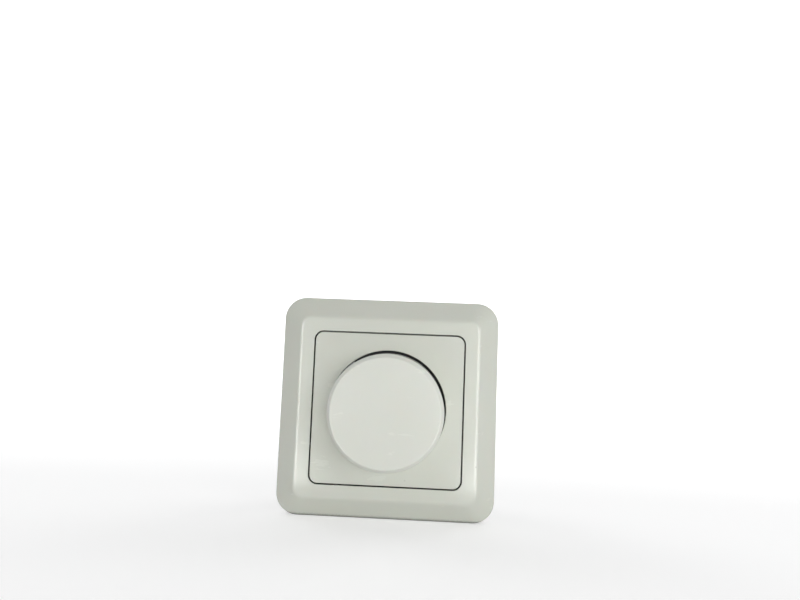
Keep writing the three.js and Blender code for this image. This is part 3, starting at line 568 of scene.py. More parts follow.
def clear_glass(name, base):
    s = Surface(name, IOR=1.5, Transmission_Weight=0.9, Roughness=0.03)
    cloud = s.between(s.noise(5), 0.4, 0.7, 0, 0.3)
    s.set("Base Color", s.mix(cloud, base, (0.8, 0.86, 0.84)))
    s.set("Roughness", s.between(s.noise(2, detail=5), 0.45, 0.75, 0.03, 0.12))
    return s.done()


BAND_LOOK = (0.35, 0.003)
FINISH = {
    "white_plastic": (white_plastic, (0.776, 0.80, 0.732), 0.0),
    "black_plastic": (moulded_plastic, (0.022, 0.022, 0.024), 0.45),
    "grey_plastic": (moulded_plastic, (0.50, 0.51, 0.49), 0.5),
    "zinc_steel": (metal, (0.66, 0.68, 0.71), 0.28, (1, 0.06, 1), (0.50, 0.51, 0.50)),
    "spring_steel": (metal, (0.42, 0.43, 0.45), 0.25, (0.1, 1, 1), (0.22, 0.21, 0.20)),
    "brass": (metal, (0.78, 0.57, 0.23), 0.24, (1, 1, 0.08), (0.48, 0.33, 0.13)),
    "copper_wire": (enamelled_wire, (0.72, 0.30, 0.14)),
    "board_laminate": (laminate, (0.33, 0.155, 0.055)),
    "ferrite": (granular, (0.045, 0.045, 0.05), 0.62, 0.02),
    "fuse_glass": (clear_glass, (0.93, 0.97, 0.95)),
    "capacitor_box": (moulded_plastic, (0.62, 0.36, 0.03), 0.38, 0.004),
    "resistor_body": (granular, (0.60, 0.46, 0.26), 0.5, 0.004),
    "tinned_copper": (metal, (0.70, 0.70, 0.68), 0.26, (1, 1, 0.2), (0.46, 0.45, 0.42)),
    "band_black": (moulded_plastic, (0.02, 0.02, 0.02), *BAND_LOOK),
    "band_brown": (moulded_plastic, (0.12, 0.045, 0.02), *BAND_LOOK),
    "band_orange": (moulded_plastic, (0.75, 0.20, 0.02), *BAND_LOOK),
    "band_yellow": (moulded_plastic, (0.75, 0.55, 0.03), *BAND_LOOK),
    "band_violet": (moulded_plastic, (0.16, 0.05, 0.28), *BAND_LOOK),
    "knob_plastic": (white_plastic, (0.90, 0.925, 0.86), 7.0, 0.6),
    # The frame's copy of the white plastic is made lighter: painted light, as frame and plate are one
    # plastic.
    "frame_plastic": (white_plastic, (0.80, 0.825, 0.755), 3.0),
}
FINISH = {name: maker(name, *values) for name, (maker, *values) in FINISH.items()}


# ---- Visible face ----

FRAME_SPAN, PLATE_SPAN, KNOB_SPAN = span("surround_frame"), span("centre_plate"), span("rotary_knob")

SIDES = (("right", 1), ("left", -1))
COVER_SCREWS = ((-15.8, 15.8), (15.8, -15.8))
CLAW_SCREW = (25.2, 7)
LEG_Y, BOX_SLOT = 15, 30
RAMP_X, RAMP_Z, RAMP_ANGLE = 23, -22.4, radians(24.8)

OPENING, OPENING_CORNER = 28.0, 3.4
LIP_HALF, LIP_TOP, LIP_BOTTOM = 25.5, 5.2, 4.0
RIDGE_INSET, FRAME_EDGE = 7.25, 5.15
PLATE_CORNER, KNOB_OPENING = 2.9, 21.4
KNOB_WALL, KNOB_CROWN, KNOB_CHAMFER = 1.8, 0.25, 1.25
HUB_FOOT, BORE_TOP = 10.4, 19.6


def make_frame():
    """A moulding of one section, mitred round its corners: wall, slope, flat rim, opening and inward lip."""
    half, height = FRAME_SPAN.x1, FRAME_SPAN.z1
    inside = OPENING + 1.6
    skin = 1.8
    section = [
        (0, 0, 0.15), (0, FRAME_EDGE, 0.9), (RIDGE_INSET, height, 3.2), (half - OPENING, height, 0.12),
        (half - OPENING, LIP_TOP, 0.1), (half - LIP_HALF, LIP_TOP, 0.15),
        (half - LIP_HALF, LIP_BOTTOM, 0.15), (half - inside, LIP_BOTTOM, 0.2),
        (half - inside, height - skin, 0.3), (RIDGE_INSET + 0.4, height - skin, 0.6),
        (2.0, FRAME_EDGE - 1.2, 0.4), (2.0, 0, 0.15),
    ]
    rings = []
    for across, z in rounded(section, steps=8):
        corner = max(OPENING_CORNER, 8 - 0.58 * across)
        rings.append(square_ring(half - across, corner, z))
    finish(ringed(rings, loop=True), "frame_moulding", "surround_frame", FINISH["frame_plastic"], smooth=50)


def make_plate():
    half, face = PLATE_SPAN.x1, PLATE_SPAN.z1
    skirt, foot, under = 1.8, LIP_TOP + 0.05, face - 2
    steps = 480
    seam = KNOB_OPENING + 3
    edge = arced([(half, foot, 0.1), (half, face, 0.2), (seam, face, 0)], 7)
    rings = []
    for reach, z in edge[:-1]:
        rings.append(polar_square(reach, PLATE_CORNER - (half - reach), z, steps))
    hole = [(seam, face, 0), (KNOB_OPENING, face, 0.35), (KNOB_OPENING, under, 0.15), (24, under, 0)]
    rings += circles(arced(hole, 6)[1:-1], steps)
    rings += [polar_square(half - skirt, PLATE_CORNER - skirt, z, steps) for z in (under, foot)]
    plate = ringed(rings, loop=True)
    leg_outline = [
        (23.4, -1.9), (24.7, -1.9), (25.5, -0.25), (24.8, -0.25), (24.8, under + 0.1), (23.4, under + 0.1),
    ]
    legs = [bevelled(slab(leg_outline, y - 3, y + 3), 0.12) for y in (LEG_Y, -LEG_Y)]
    legs += [half_turned(leg) for leg in legs]
    finish(join(plate, *legs), "centre_plate_face", "centre_plate", smooth=40)


def make_knob():
    """A cup with a hub and ribs inside, and a faintly crowned face."""
    radius, bottom = KNOB_SPAN.x1, KNOB_SPAN.z0
    face = KNOB_SPAN.z1 - KNOB_CROWN
    roof, inner = face - 2, radius - KNOB_WALL
    section = [
        (0, roof, 0), (inner, roof, 0.6), (inner + 0.05, bottom, 0.2), (radius, bottom, 0.3),
        (radius - 0.03, face - KNOB_CHAMFER, 0.5), (radius - KNOB_CHAMFER, face, 0.7),
        (radius * 0.5, face + KNOB_CROWN * 0.8, 8), (0, face + KNOB_CROWN, 0),
    ]
    cup = turned(arced(section, 12), 192)
    hub_radius, bore_radius, flat, rib_half, rib_foot, rib_count = 5.2, 3.06, 2.2, 0.6, 14, 6
    sunk = roof + 0.1
    hub = rod(0, 0, hub_radius, HUB_FOOT, sunk, 96)
    ribs = []
    for number in range(rib_count):
        rib = block(hub_radius - 0.2, inner + 0.3, -rib_half, rib_half, rib_foot, sunk)
        ribs.append(moved(rib, Matrix.Rotation(number * FULL_TURN / rib_count, 4, "Z")))
    bore = cut(rod(0, 0, bore_radius, HUB_FOOT - 1, BORE_TOP), block(flat, 6, -6, 6, 8, BORE_TOP + 1))
    finish(cut(join(cup, hub, *ribs), bore), "knob_cap", "rotary_knob", FINISH["knob_plastic"], smooth=40)


# ---- Screws, springs and other round pieces ----


def threaded(radius, pitch, z0, z1, steps):
    """Rings of a threaded shank, pointed at its tip."""
    depth = 0.32
    rings = []
    step_z = pitch / 5
    count = int((z1 - z0) / step_z)
    for k in range(count + 1):
        z = z0 + (z1 - z0) * k / count
        fade = min(1, (z1 - z) / pitch, (z - z0) / pitch + 0.4)
        tip = 0.25 * max(0, 1 - (z - z0) / 0.6)

        def reach_at(share):
            phase = (z / pitch + share) % 1
            groove = depth * pitch * (1 - abs(2 * phase - 1)) * 1.6
            return radius - groove * fade - tip

        rings.append(turned_ring(reach_at, z, steps))
    return rings


def make_screw(node, piece, shank, head, seat, pitch, slot_turn, faces_back=False):
    """A slotted pan-head screw on its CAD node's axis. Its head faces +z, or -z when it faces back."""
    box = span(node)
    seat, crown, end = (-seat, -box.z0, -box.z1) if faces_back else (seat, box.z1, box.z0)
    steps = 56
    dome = (crown - seat) * 0.55
    profile = [(shank, seat, 0), (head, seat, 0.15), (head, crown, dome), (0, crown + 0.001, 0)]
    rings = [[(0, 0, end)]] + threaded(shank, pitch, end, seat, steps)
    rings += circles(arced(profile, 7), steps)
    slot = block(-head - 1, head + 1, -0.4, 0.4, crown - 0.8, crown + 1)
    made = cut(ringed(rings), moved(slot, Matrix.Rotation(radians(slot_turn), 4, "Z")))
    if faces_back:
        moved(made, Matrix.Rotation(pi, 4, "X"))
    finish(shifted(made, (box.x0 + box.x1) / 2, (box.y0 + box.y1) / 2), piece, node)


def make_screws():
    for side, _ in SIDES:
        make_screw(f"claw_screw_{side}", f"claw_bolt_{side}", 1.45, 2.5, 1.25, 0.5, 20)
    for where in ("upper", "lower"):
        make_screw(f"cover_screw_{where}", f"cover_bolt_{where}", 1.3, 2.6, 2.45, 0.6, 35)
    for number in (1, 2, 3):
        names = (f"terminal_screw_{number}", f"terminal_bolt_{number}")
        make_screw(*names, 1.6, 2.9, -22.9, 0.5, 40 * number - 15, faces_back=True)
    make_screw("triac_screw", "triac_bolt", 1.4, 2.7, -1.65, 0.5, 10, faces_back=True)


def make_return_spring():
    """A coil with settled ends."""
    s = span("return_spring")
    wire, turns, steps, stroke = 0.28, 4, 160, 1.6
    radius = s.x1 - wire
    low, high = s.z0 + wire, s.z1 - wire
    rings = []
    for k in range(steps + 1):
        turn = k / steps * turns * FULL_TURN
        settled = min(1, max(0, (k / steps - 0.1) / 0.8))
        outward = Vector((cos(turn), sin(turn), 0))
        centre = outward * radius + Vector((0, 0, low + (high - low) * settled))
        section = circle(wire, 0, 12)
        rings.append([tuple(centre + outward * out + Vector((0, 0, up))) for out, up, _ in section])
    coil = finish(ringed(rings), "return_coil", "return_spring", smooth=60)
    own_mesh(coil)


# ---- Insert ----


def both_sides(*pieces):
    """Each cutter or boss, and its twin half a turn away."""
    return [piece for first in pieces for piece in (first, half_turned(first))]


def make_support_plate():
    s = span("support_plate")
    thick = 1.2
    plate = ringed([square_ring(s.x1, 7, z) for z in (0, thick)])
    seats = both_sides(
        slotted(BOX_SLOT, 0, 3.7, 6.1, thick / 2, s.z1, 20),
        slotted(0, BOX_SLOT, 6.1, 3.7, thick / 2, s.z1, 20),
    )
    low, high, leg_reach = -1, 3, 3.4
    holes = both_sides(
        slotted(BOX_SLOT, 0, 2.1, 4.5, low, high, 20),
        slotted(0, BOX_SLOT, 4.5, 2.1, low, high, 20),
        block(23.1, 25.1, LEG_Y - leg_reach, LEG_Y + leg_reach, low, high),
        block(23.1, 25.1, -LEG_Y - leg_reach, leg_reach - LEG_Y, low, high),
        rod(*CLAW_SCREW, 1.7, low, high),
    )
    holes += [rod(0, 0, 5.2, low, high, 96), rod(TRIAC_HOLE_X, TRIAC_Y, 1.5, low, high)]
    holes += [rod(*place, 1.7, low, high) for place in COVER_SCREWS]
    finish(bevelled(cut(join(plate, *seats), *holes), 0.12), "support_ring", "support_plate")


def octagon(half, chamfer):
    short = half - chamfer
    return [
        (half, -short), (half, short), (short, half), (-short, half),
        (-half, short), (-half, -short), (-short, -half), (short, -half),
    ]


def make_housing():
    """A cup with chamfered corners, the claws' ramps, and room for the screws and wires."""
    half, chamfer, wall, rear, floor, ledge_top = 23, 9, 1.6, -25, -23.2, -8.75
    inner, ramp = half - wall, 11
    sunk = floor - 0.1
    shell = bevelled(prism(octagon(half, chamfer), rear, -0.05), 0.6, 3)
    hollow = prism(octagon(inner, chamfer - 0.6), floor, 1)
    panel = bevelled(block(-14, 14, -6, 16, rear - 1, rear + 0.25), 0.1)
    made = cut(shell, hollow, panel)
    top = (RAMP_X + ramp * sin(RAMP_ANGLE), RAMP_Z + ramp * cos(RAMP_ANGLE))
    root = RAMP_X - 0.5
    rail = [(RAMP_X, RAMP_Z), top, (top[0], -8), (RAMP_X, -3), (root, -3), (root, RAMP_Z)]
    rails = both_sides(
        bevelled(slab(rail, 3.0, 4.2), 0.1),
        bevelled(slab(rail, 9.8, 11.0), 0.1),
    )
    posts = [rod(*place, 2.8, sunk, -0.1) for place in COVER_SCREWS]
    ledges = [
        block(20, inner + 0.1, -4, 4, sunk, ledge_top),
        block(-inner - 0.1, -20, -4, 4, sunk, ledge_top),
        block(-4, 4, 20, inner + 0.1, sunk, ledge_top),
    ]
    dividers = [block(x - 0.5, x + 0.5, -inner - 0.1, -13.1, sunk, -10.2) for x in (-4.5, 4.5)]
    made = join(made, *rails, *posts, *ledges, *dividers)
    openings = [rod(*place, 1.45, -12, 1, 32) for place in COVER_SCREWS]
    for x in TERMINAL_X:
        wire_hole = block(x - 2.4, x + 2.4, -24, -20.9, -16.4, -12.6)
        openings += [wire_hole, rod(x, TERMINAL_Y, 3.25, rear - 1, floor + 1, 72)]
    finish(bevelled(cut(made, *openings), 0.12, 2), "housing_shell", "insert_housing")


# ---- Knob spring, spindle and potentiometer ----


def make_grip_spring():
    foot, head, rest, bow, thick = 11.4, 19.0, 1.8, 0.22, 0.2
    path = [(rest + bow * sin(pi * t / 12), foot + (head - foot) * t / 12, 0) for t in range(13)]
    finish(bevelled(slab(strip(path, thick), -1.6, 1.6), 0.05), "grip_leaf", "knob_grip_spring")


def make_spindle():
    s = span("control_shaft")
    radius, neck, groove_low, groove_high = 3.0, 2.6, -2.25, -1.65
    profile = [
        (0, s.z0, 0), (radius, s.z0, 0.3), (radius, groove_low, 0.05), (neck, groove_low, 0),
        (neck, groove_high, 0), (radius, groove_high, 0.05), (radius, s.z1, 0.6), (0, s.z1, 0),
    ]
    made = turned(arced(profile, 4), 96)
    flat = block(1.6, 4, -4, 4, 8.2, s.z1 + 1)
    key = block(-4, 4, 2.2, 4, s.z0 - 1, -2.7)
    slot = block(-4, 4, -0.4, 0.4, s.z1 - 0.9, s.z1 + 1)
    finish(bevelled(cut(made, flat, key, half_turned(key), slot), 0.07), "spindle", "control_shaft")
    z0, z1 = groove_low + 0.05, groove_high - 0.05
    below, above = z0 - 1, z1 + 1
    ring = cut(rod(0, 0, 4.3, z0, z1, 96), rod(0, 0, neck + 0.06, below, above, 96))
    eyes = [(2.9 * cos(turn), 2.9 * sin(turn)) for turn in (0.5, 2.64)]
    pockets = [rod(*eye, 0.75, below, above, 28) for eye in eyes]
    ring = bevelled(cut(ring, block(-1.2, 1.2, -6, 0, below, above), *pockets), 0.05)
    finish(ring, "spindle_clip", "shaft_retaining_ring")


def make_potentiometer():
    """A can whose bush carries a real thread, a track board, and the track's prongs."""
    steps, pitch = 96, 0.75
    can, cavity, rear, front, roof = 9.0, 7.8, -7.0, -0.3, -1.5
    bush, bore, top = 5.0, 3.1, 7.6
    outside = [(cavity, rear, 0), (can, rear, 0.15), (can, front, 0.6), (bush, front, 0.2), (bush, 3.0, 0)]
    rings = circles(arced(outside, 4), steps)
    thread = threaded(bush, pitch, 0.05 - top, -3.2, steps)
    rings += [[(x, y, -z) for x, y, z in ring] for ring in reversed(thread)]
    inside = [(bush - 0.5, top), (bore + 0.2, top), (bore, top - 0.2), (bore, roof), (cavity, roof)]
    rings += circles(inside, steps)
    made = cut(ringed(rings, loop=True), block(-4.5, 4.5, -10, 0, rear - 1, -6.0))
    finish(made, "potentiometer_can", "potentiometer_body")
    low, high = -6.95, -6.15
    disc = join(rod(0, 0, 7.7, low, high, 96), block(-4.3, 4.3, -10.6, -6, low, high))
    holes = heap(*[pin_hole(x, TRACK_PIN_Y, low, high) for x in TRACK_PIN_X])
    disc = bevelled(cut(disc, rod(0, 0, 4.8, low - 1, high + 1, 96), holes), 0.06)
    finish(disc, "track_board", "resistive_track")
    for number, x in enumerate(TRACK_PIN_X, 1):
        finish(pin(x, TRACK_PIN_Y, LEAD_FRONT, -5.7), f"track_prong_{number}", f"track_pin_{number}")


def make_wiper():
    front, rear, hub_rear = -4.35, -5.3, -6.7
    hole = rod(0, 0, 3.08, hub_rear - 1, front + 1, 96)
    hole = combine(hole, [block(-8, 8, -2.28, 2.28, hub_rear - 2, front + 2)], "INTERSECT")
    disc = join(rod(0, 0, 7.2, rear, front, 96), rod(0, 0, 4.4, hub_rear, rear + 0.1, 96))
    dimples = [rod(0, 5.8 * side, 0.7, rear - 1, front + 1, 32) for side in (1, -1)]
    finish(bevelled(cut(disc, hole, *dimples), 0.1), "wiper_disc", "wiper_carrier")
    top = rear - 0.05
    ring = cut(rod(0, 0, 6.9, top - 0.3, top, 96), rod(0, 0, 4.6, top - 1, top + 1, 96))
    finger = strip([(5.2, top - 0.15, 0), (6.05, -5.97, 0.3), (6.6, top - 0.3, 0)], 0.2)
    prongs = both_sides(slab(finger, -0.8, -0.15), slab(finger, 0.15, 0.8))
    finish(join(ring, *prongs), "wiper_spring", "wiper_contact")


# ---- Cover, nut and lock washer ----


def make_cover():
    s = span("front_cover")
    plate = bevelled(ringed([square_ring(s.x1, 4, z) for z in (s.z0, s.z1)]), 0.35, 3)
    low, high = s.z0 - 1, s.z1 + 1
    vent, counterbore = s.z1 - 0.6, s.z1 - 1.05
    holes = both_sides(
        rod(*COVER_SCREWS[0], 1.5, low, high),
        rod(*COVER_SCREWS[0], 2.9, counterbore, high),
        slotted(14, 0, 0.6, 4.5, vent, high),
        slotted(17, 0, 0.6, 4.5, vent, high),
    )
    groove = cut(rod(0, 0, 10.4, s.z1 - 0.4, high, 96), rod(0, 0, 9.6, low, high + 1, 96))
    made = bevelled(cut(plate, rod(0, 0, 5.3, low, high, 96), groove, *holes), 0.08)
    finish(made, "cover_plate", "front_cover")


def make_nut():
    s = span("bush_nut")
    body, bore = 8.15, 5.15
    hexagon = [(x, y) for x, y, _ in circle(14 / sqrt(3), 0, 6)]
    dome = [(0, s.z0), (7.3, s.z0), (body, s.z0 + 0.45), (body, s.z1 - 0.7), (7.1, s.z1), (0, s.z1)]
    low, high = s.z0 - 0.1, s.z1 + 0.1
    hole = [(0, low), (5.6, low), (bore, s.z0 + 0.35), (bore, s.z1 - 0.35), (5.6, high), (0, high)]
    made = cut(combine(prism(hexagon, s.z0, s.z1), [turned(dome)], "INTERSECT"), turned(hole))
    finish(made, "bush_hex_nut", "bush_nut")


def make_lock_washer():
    """A flat ring whose outer teeth are each twisted a little."""
    s = span("lock_washer")
    inner, root, tip, teeth, per_tooth = 5.2, 7.0, 8.2, 12, 16
    middle, thick, twist = (s.z0 + s.z1) / 2, 0.26, 0.08
    steps = teeth * per_tooth

    def toothed(z):
        ring = []
        for i in range(steps):
            turn, phase = FULL_TURN * i / steps, (i % per_tooth) / per_tooth - 0.5
            reach, lift = (tip, 2 * twist * phase / 0.6) if abs(phase) < 0.3 else (root + 0.05, 0)
            ring.append((reach * cos(turn), reach * sin(turn), z + lift))
        return ring

    low, high = middle - thick / 2, middle + thick / 2
    rings = [circle(inner, high, steps), circle(root, high, steps), toothed(high)]
    rings += [toothed(low), circle(root, low, steps), circle(inner, low, steps)]
    finish(ringed(rings, loop=True), "toothed_washer", "lock_washer")


# ---- Circuit board and the parts on it ----

BOARD_FRONT, BOARD_REAR = -7.1, -8.7
LEAD_FRONT, LEAD_REAR = BOARD_REAR + 0.05, BOARD_FRONT - 0.05
TRACK_PIN_X, TRACK_PIN_Y = (-3, 0, 3), -9.9
TERMINAL_X, TERMINAL_Y, STRIP_Y = (-9, 0, 9), -16.3, -12.0
TRIAC_Y, TRIAC_HOLE_X, TRIAC_LEAD_X = 15.2, -5.15, 10.4
TRIAC_LEAD_Y = [TRIAC_Y + n * 2.54 for n in (-1, 0, 1)]
FUSE_Y, FUSE_Z, CLIP_X = -15.2, -3.85, 7.5
CHOKE_AT = (11.5, 12)

Box = namedtuple("Box", "x0 x1 y0 y1 rear leads")
CAPACITORS = {
    "suppression_capacitor": Box(-12, 1, 11.5, 17.5, -20.5, ((-10.5, 14.5), (-0.5, 14.5))),
    "timing_capacitor": Box(-17.6, -14.1, -3.5, 4.5, -17.5, ((-15.85, -2.5), (-15.85, 3.5))),
    "filter_capacitor": Box(13.2, 17.2, -9.5, -1, -16.5, ((15.2, -8.4), (15.2, -2.1))),
}
Axial = namedtuple("Axial", "x y radius half lead bands")
AXIAL = {
    "resistor_timing": Axial(-12.4, -1, 1.3, 3.2, 4.7, ("band_yellow", "band_violet", "band_orange")),
    "resistor_trigger": Axial(-16.8, -1, 1.3, 3.2, 4.7, ("band_brown", "band_black", "band_orange")),
    "resistor_snubber": Axial(17.6, 1, 1.5, 4, 5.7, ("band_brown", "band_black", "band_brown")),
    "diac": Axial(12.6, 1, 1, 2, 4.2, ()),
}


def make_board():
    low, high = BOARD_REAR, BOARD_FRONT
    places = [(x, TRACK_PIN_Y) for x in TRACK_PIN_X]
    places += [(TRIAC_LEAD_X, y) for y in TRIAC_LEAD_Y]
    places += [(side * CLIP_X, FUSE_Y) for side in (-1, 1)]
    places += [place for box in CAPACITORS.values() for place in box.leads]
    places += [(part.x, part.y + side * part.lead) for part in AXIAL.values() for side in (-1, 1)]
    places += [(-5, 0), (5, 0)] + [(x, STRIP_Y) for x in TERMINAL_X]
    holes = heap(*[pin_hole(x, y, low, high) for x, y in places])
    rounds = [rod(0, 0, 3.4, low - 1, high + 1, 96)]
    rounds += [rod(*place, 3.1, low - 1, high + 1) for place in COVER_SCREWS]
    made = bevelled(cut(prism(octagon(20.6, 8), low, high), holes, *rounds), 0.05)
    finish(made, "wiring_board", "circuit_board")


def make_triac():
    """A plastic body on a metal tab, with three leads bent down to the board."""
    y0, y1 = TRIAC_Y - 5, TRIAC_Y + 5
    body_left, body_right, lead_z, hole = -2.0, 7.2, -2.6, 1.8
    body = bevelled(block(body_left, body_right, y0, y1, -4.7, -0.35), 0.3)
    tab = block(-8.3, body_left + 0.5, y0, y1, -1.6, -0.36)
    notches = [rod(-3.2, y, 0.7, -3, 1, 32) for y in (y0, y1)]
    tab = bevelled(cut(tab, *notches), 0.1)
    lead = strip([(6.8, lead_z, 0), (TRIAC_LEAD_X, lead_z, 0.6), (TRIAC_LEAD_X, LEAD_FRONT, 0)], 0.5)
    leads = [slab(lead, y - 0.38, y + 0.38) for y in TRIAC_LEAD_Y]
    dimple = rod(4.9, y0 + 2, 0.8, -5, -4.5, 40)
    made = cut(join(body, tab, *leads), rod(TRIAC_HOLE_X, TRIAC_Y, hole, -6, 1), dimple)
    made = finish(made, "triac_case", "triac")
    repaint(made, FINISH["tinned_copper"], lambda at: not body_left <= at.x <= body_right)
    left, right, bottom, top, corner, low, high = -8.8, 7.7, 9.7, 20.7, 1, -0.3, -0.05
    outline = [(left, bottom, corner), (right, bottom, corner), (right, top, corner), (left, top, corner)]
    sheet = cut(prism(rounded(outline), low, high), rod(TRIAC_HOLE_X, TRIAC_Y, hole, low - 1, high + 1))
    finish(sheet, "insulating_sheet", "triac_insulator")


def make_fuse():
    half, cap, glass, start = 10, 2.7, 2.5, 5
    outer_end = [
        (cap, start, 0.15), (cap, start + 0.6, 0), (cap - 0.12, start + 0.9, 0), (cap, start + 1.2, 0),
        (cap, half, 0.5), (0, half, 0),
    ]
    profile = [(radius, -z, arc) for radius, z, arc in reversed(outer_end)]
    profile += [(glass, -start, 0), (glass, start, 0)] + outer_end
    tube = laid(turned(arced(profile, 4), 64), "x", (0, FUSE_Y, FUSE_Z))
    tube = finish(tube, "fuse_tube", "fuse_link")
    repaint(tube, FINISH["tinned_copper"], lambda at: abs(at.x) > start - 0.01)
    arm, base = 3.05, BOARD_FRONT + 0.25
    waist, tip = (arm - 0.22, FUSE_Z + 0.7, 0.5), (arm, FUSE_Z + 1.4, 0)
    side = [(arm, base, 0.7), (arm, FUSE_Z - 0.3, 1.0), waist, tip]
    path = [(-y, z, radius) for y, z, radius in reversed(side)] + side
    section = [(FUSE_Y + y, z) for y, z in strip(path, 0.4)]
    for name, sign in SIDES:
        node = f"fuse_clip_{name}"
        x = sign * CLIP_X
        clip = bevelled(ringed([[(x + end, y, z) for y, z in section] for end in (-1.8, 1.8)]), 0.06)
        finish(join(clip, pin(x, FUSE_Y, LEAD_FRONT, base)), f"fuse_spring_{name}", node)


def make_choke():
    """A ferrite bobbin, and one layer of wire whose turns show as a helical ridge."""
    rear, front, flange, rim, core = -19.8, -8.8, 1.5, 7, 3.4
    profile = [
        (0, rear, 0), (rim, rear, 0.4), (rim, rear + flange, 0.3), (core, rear + flange, 0.2),
        (core, front - flange, 0.2), (rim, front - flange, 0.3), (rim, front, 0.4), (0, front, 0),
    ]
    finish(shifted(turned(arced(profile, 5), 96), *CHOKE_AT), "choke_bobbin", "choke_core")
    steps, turns, rings_per_turn, groove, ridge = 72, 9, 9, 6.0, 0.4
    low, high = rear + flange + 0.05, front - flange - 0.05
    count = turns * rings_per_turn
    rings = [circle(core + 0.1, low, steps)]
    for k in range(count + 1):
        along = turns * k / count
        reach_at = lambda share: groove + ridge * abs(sin(pi * (along + share)))
        rings.append(turned_ring(reach_at, low + (high - low) * k / count, steps))
    rings.append(circle(core + 0.1, high, steps))
    finish(shifted(ringed(rings, loop=True), *CHOKE_AT), "choke_coil", "choke_winding", smooth=80)


def make_capacitors():
    front = BOARD_REAR - 0.1
    for node, box in CAPACITORS.items():
        body = bevelled(block(box.x0, box.x1, box.y0, box.y1, box.rear, front), 0.45, 3)
        leads = [rod(x, y, 0.38, front - 0.5, LEAD_REAR, 24) for x, y in box.leads]
        made = finish(join(body, *leads), f"{node}_box", node)
        repaint(made, FINISH["tinned_copper"], lambda at: at.z > front + 0.01)


def make_axial_parts():
    """Resistors with a waist and colour rings, and a diac, on wires bent through the board."""
    for node, part in AXIAL.items():
        radius, half, z = part.radius, part.half, BOARD_FRONT + part.radius + 0.3
        waist = radius * 0.85 if part.bands else radius
        rings = ((-0.88, -0.74), (-0.36, -0.22), (-0.06, 0.08)) if part.bands else ((-0.75, -0.5),)
        steps = [(radius, share) for share in rings[0]]
        if part.bands:
            steps += [(radius, -0.62), (waist, -0.5)]
            steps += [(waist, share) for ring in rings[1:] for share in ring]
            steps += [(waist, 0.5), (radius, 0.62)]
        profile = [(0, -half, 0), (radius, -half, 0.3 * radius)]
        profile += [(reach, share * half, 0) for reach, share in steps]
        profile += [(radius, half, 0.3 * radius), (0, half, 0)]
        body = laid(turned(arced(profile, 5), 48), "y", (part.x, part.y, z))
        wires = []
        for side in (-1, 1):
            path = [
                (part.y + side * (half - 0.2), z, 0), (part.y + side * part.lead, z, 0.8),
                (part.y + side * part.lead, LEAD_FRONT, 0),
            ]
            wires.append(bent_wire(part.x, path, 0.3))
        made = finish(join(body, *wires), f"{node}_body", node)
        on_wire = lambda at: abs(at.y - part.y) > half + 0.001 or at.z < z - radius
        repaint(made, FINISH["tinned_copper"], on_wire)
        for (low, high), band in zip(rings, part.bands or ("band_black",)):
            repaint(made, FINISH[band], lambda at: low * half < at.y - part.y < high * half)


# ---- Push switch and terminals ----


def make_switch():
    s = span("switch_housing")
    wall = 1.2
    shell = bevelled(block(*s), 0.4, 3)
    hollow = block(s.x0 + wall, s.x1 - wall, s.y0 + wall, s.y1 - wall, s.z0 + wall, s.z1 + 1)
    places = [(x, y) for x in (-3, 3) for y in (s.y0, s.y1)]
    grooves = [block(x - 0.4, x + 0.4, y - 0.3, y + 0.3, s.z0 + 2, s.z1 + 1) for x, y in places]
    finish(bevelled(cut(shell, hollow, *grooves), 0.08), "switch_case", "switch_housing")
    s = span("switch_plunger")
    body = bevelled(block(s.x0, s.x1, s.y0, s.y1, s.z0, s.z1 - 0.25), 0.35, 3)
    made = bevelled(join(body, rod(0, 0, 2.2, s.z1 - 0.6, s.z1, 64)), 0.06)
    finish(made, "switch_button", "switch_plunger")
    s = span("contact_bridge")
    rivets = [rod(x, 0, 0.5, s.z1 - 0.1, s.z1 + 0.22, 32) for x in (-4.0, 4.0)]
    finish(bevelled(join(block(*s), *rivets), 0.07), "switch_bridge", "contact_bridge")
    for name, sign in SIDES:
        node = f"fixed_contact_{name}"
        s = span(node)
        pad = s.z0 + 0.35
        blade = slab(strip([(3.6, pad, 0), (5.0, pad, 0.5), (5.0, BOARD_REAR - 0.2, 0)], 0.5), -1, 1)
        tail = block(4.75, 5.25, -0.4, 0.4, BOARD_REAR - 0.5, LEAD_REAR)
        made = bevelled(join(blade, tail, rod(4.15, 0, 0.5, pad, s.z0 + 0.7, 32)), 0.06)
        finish(on_side(made, sign), f"switch_contact_{name}", node)


def make_terminals():
    """Rising cages, each with a window for the wire, and grooved strips soldered to the board."""
    for number, x in enumerate(TERMINAL_X, 1):
        node = f"terminal_clamp_{number}"
        s = span(node)
        outline = [(s.x0, s.z0, 0.7), (s.x1, s.z0, 0.7), (s.x1, s.z1, 0.9), (s.x0, s.z1, 0.9)]
        left, right, low, high = x - 2.4, x + 2.4, s.z0 + 2, s.z1 - 1.2
        window = [(left, low, 0.2), (right, low, 0.2), (right, high, 0.5), (left, high, 0.5)]
        window = slab(rounded(window), s.y0 - 1, s.y1 + 1)
        bore = rod(x, TERMINAL_Y, 1.72, s.z0 - 1, low + 0.5)
        made = bevelled(cut(slab(rounded(outline), s.y0, s.y1), window, bore), 0.1)
        finish(made, f"terminal_cage_{number}", node)
        node = f"terminal_strip_{number}"
        s = span(node)
        level, groove = -16.85, 0.15
        section = strip([(s.y0, level, 0), (STRIP_Y, level, 0.9), (STRIP_Y, BOARD_REAR - 0.2, 0)], 0.8)
        blade = ringed([[(end, y, z) for y, z in section] for end in (x - 1.9, x + 1.9)])
        places = [-18.2 + 1.2 * n for n in range(4)]
        grooves = [block(x - 3, x + 3, y - groove, y + groove, level - 1, level - 0.25) for y in places]
        blade = bevelled(cut(blade, heap(*grooves)), 0.06)
        finish(join(blade, pin(x, STRIP_Y, BOARD_REAR - 0.6, LEAD_REAR)), f"terminal_blade_{number}", node)


# ---- Claws ----


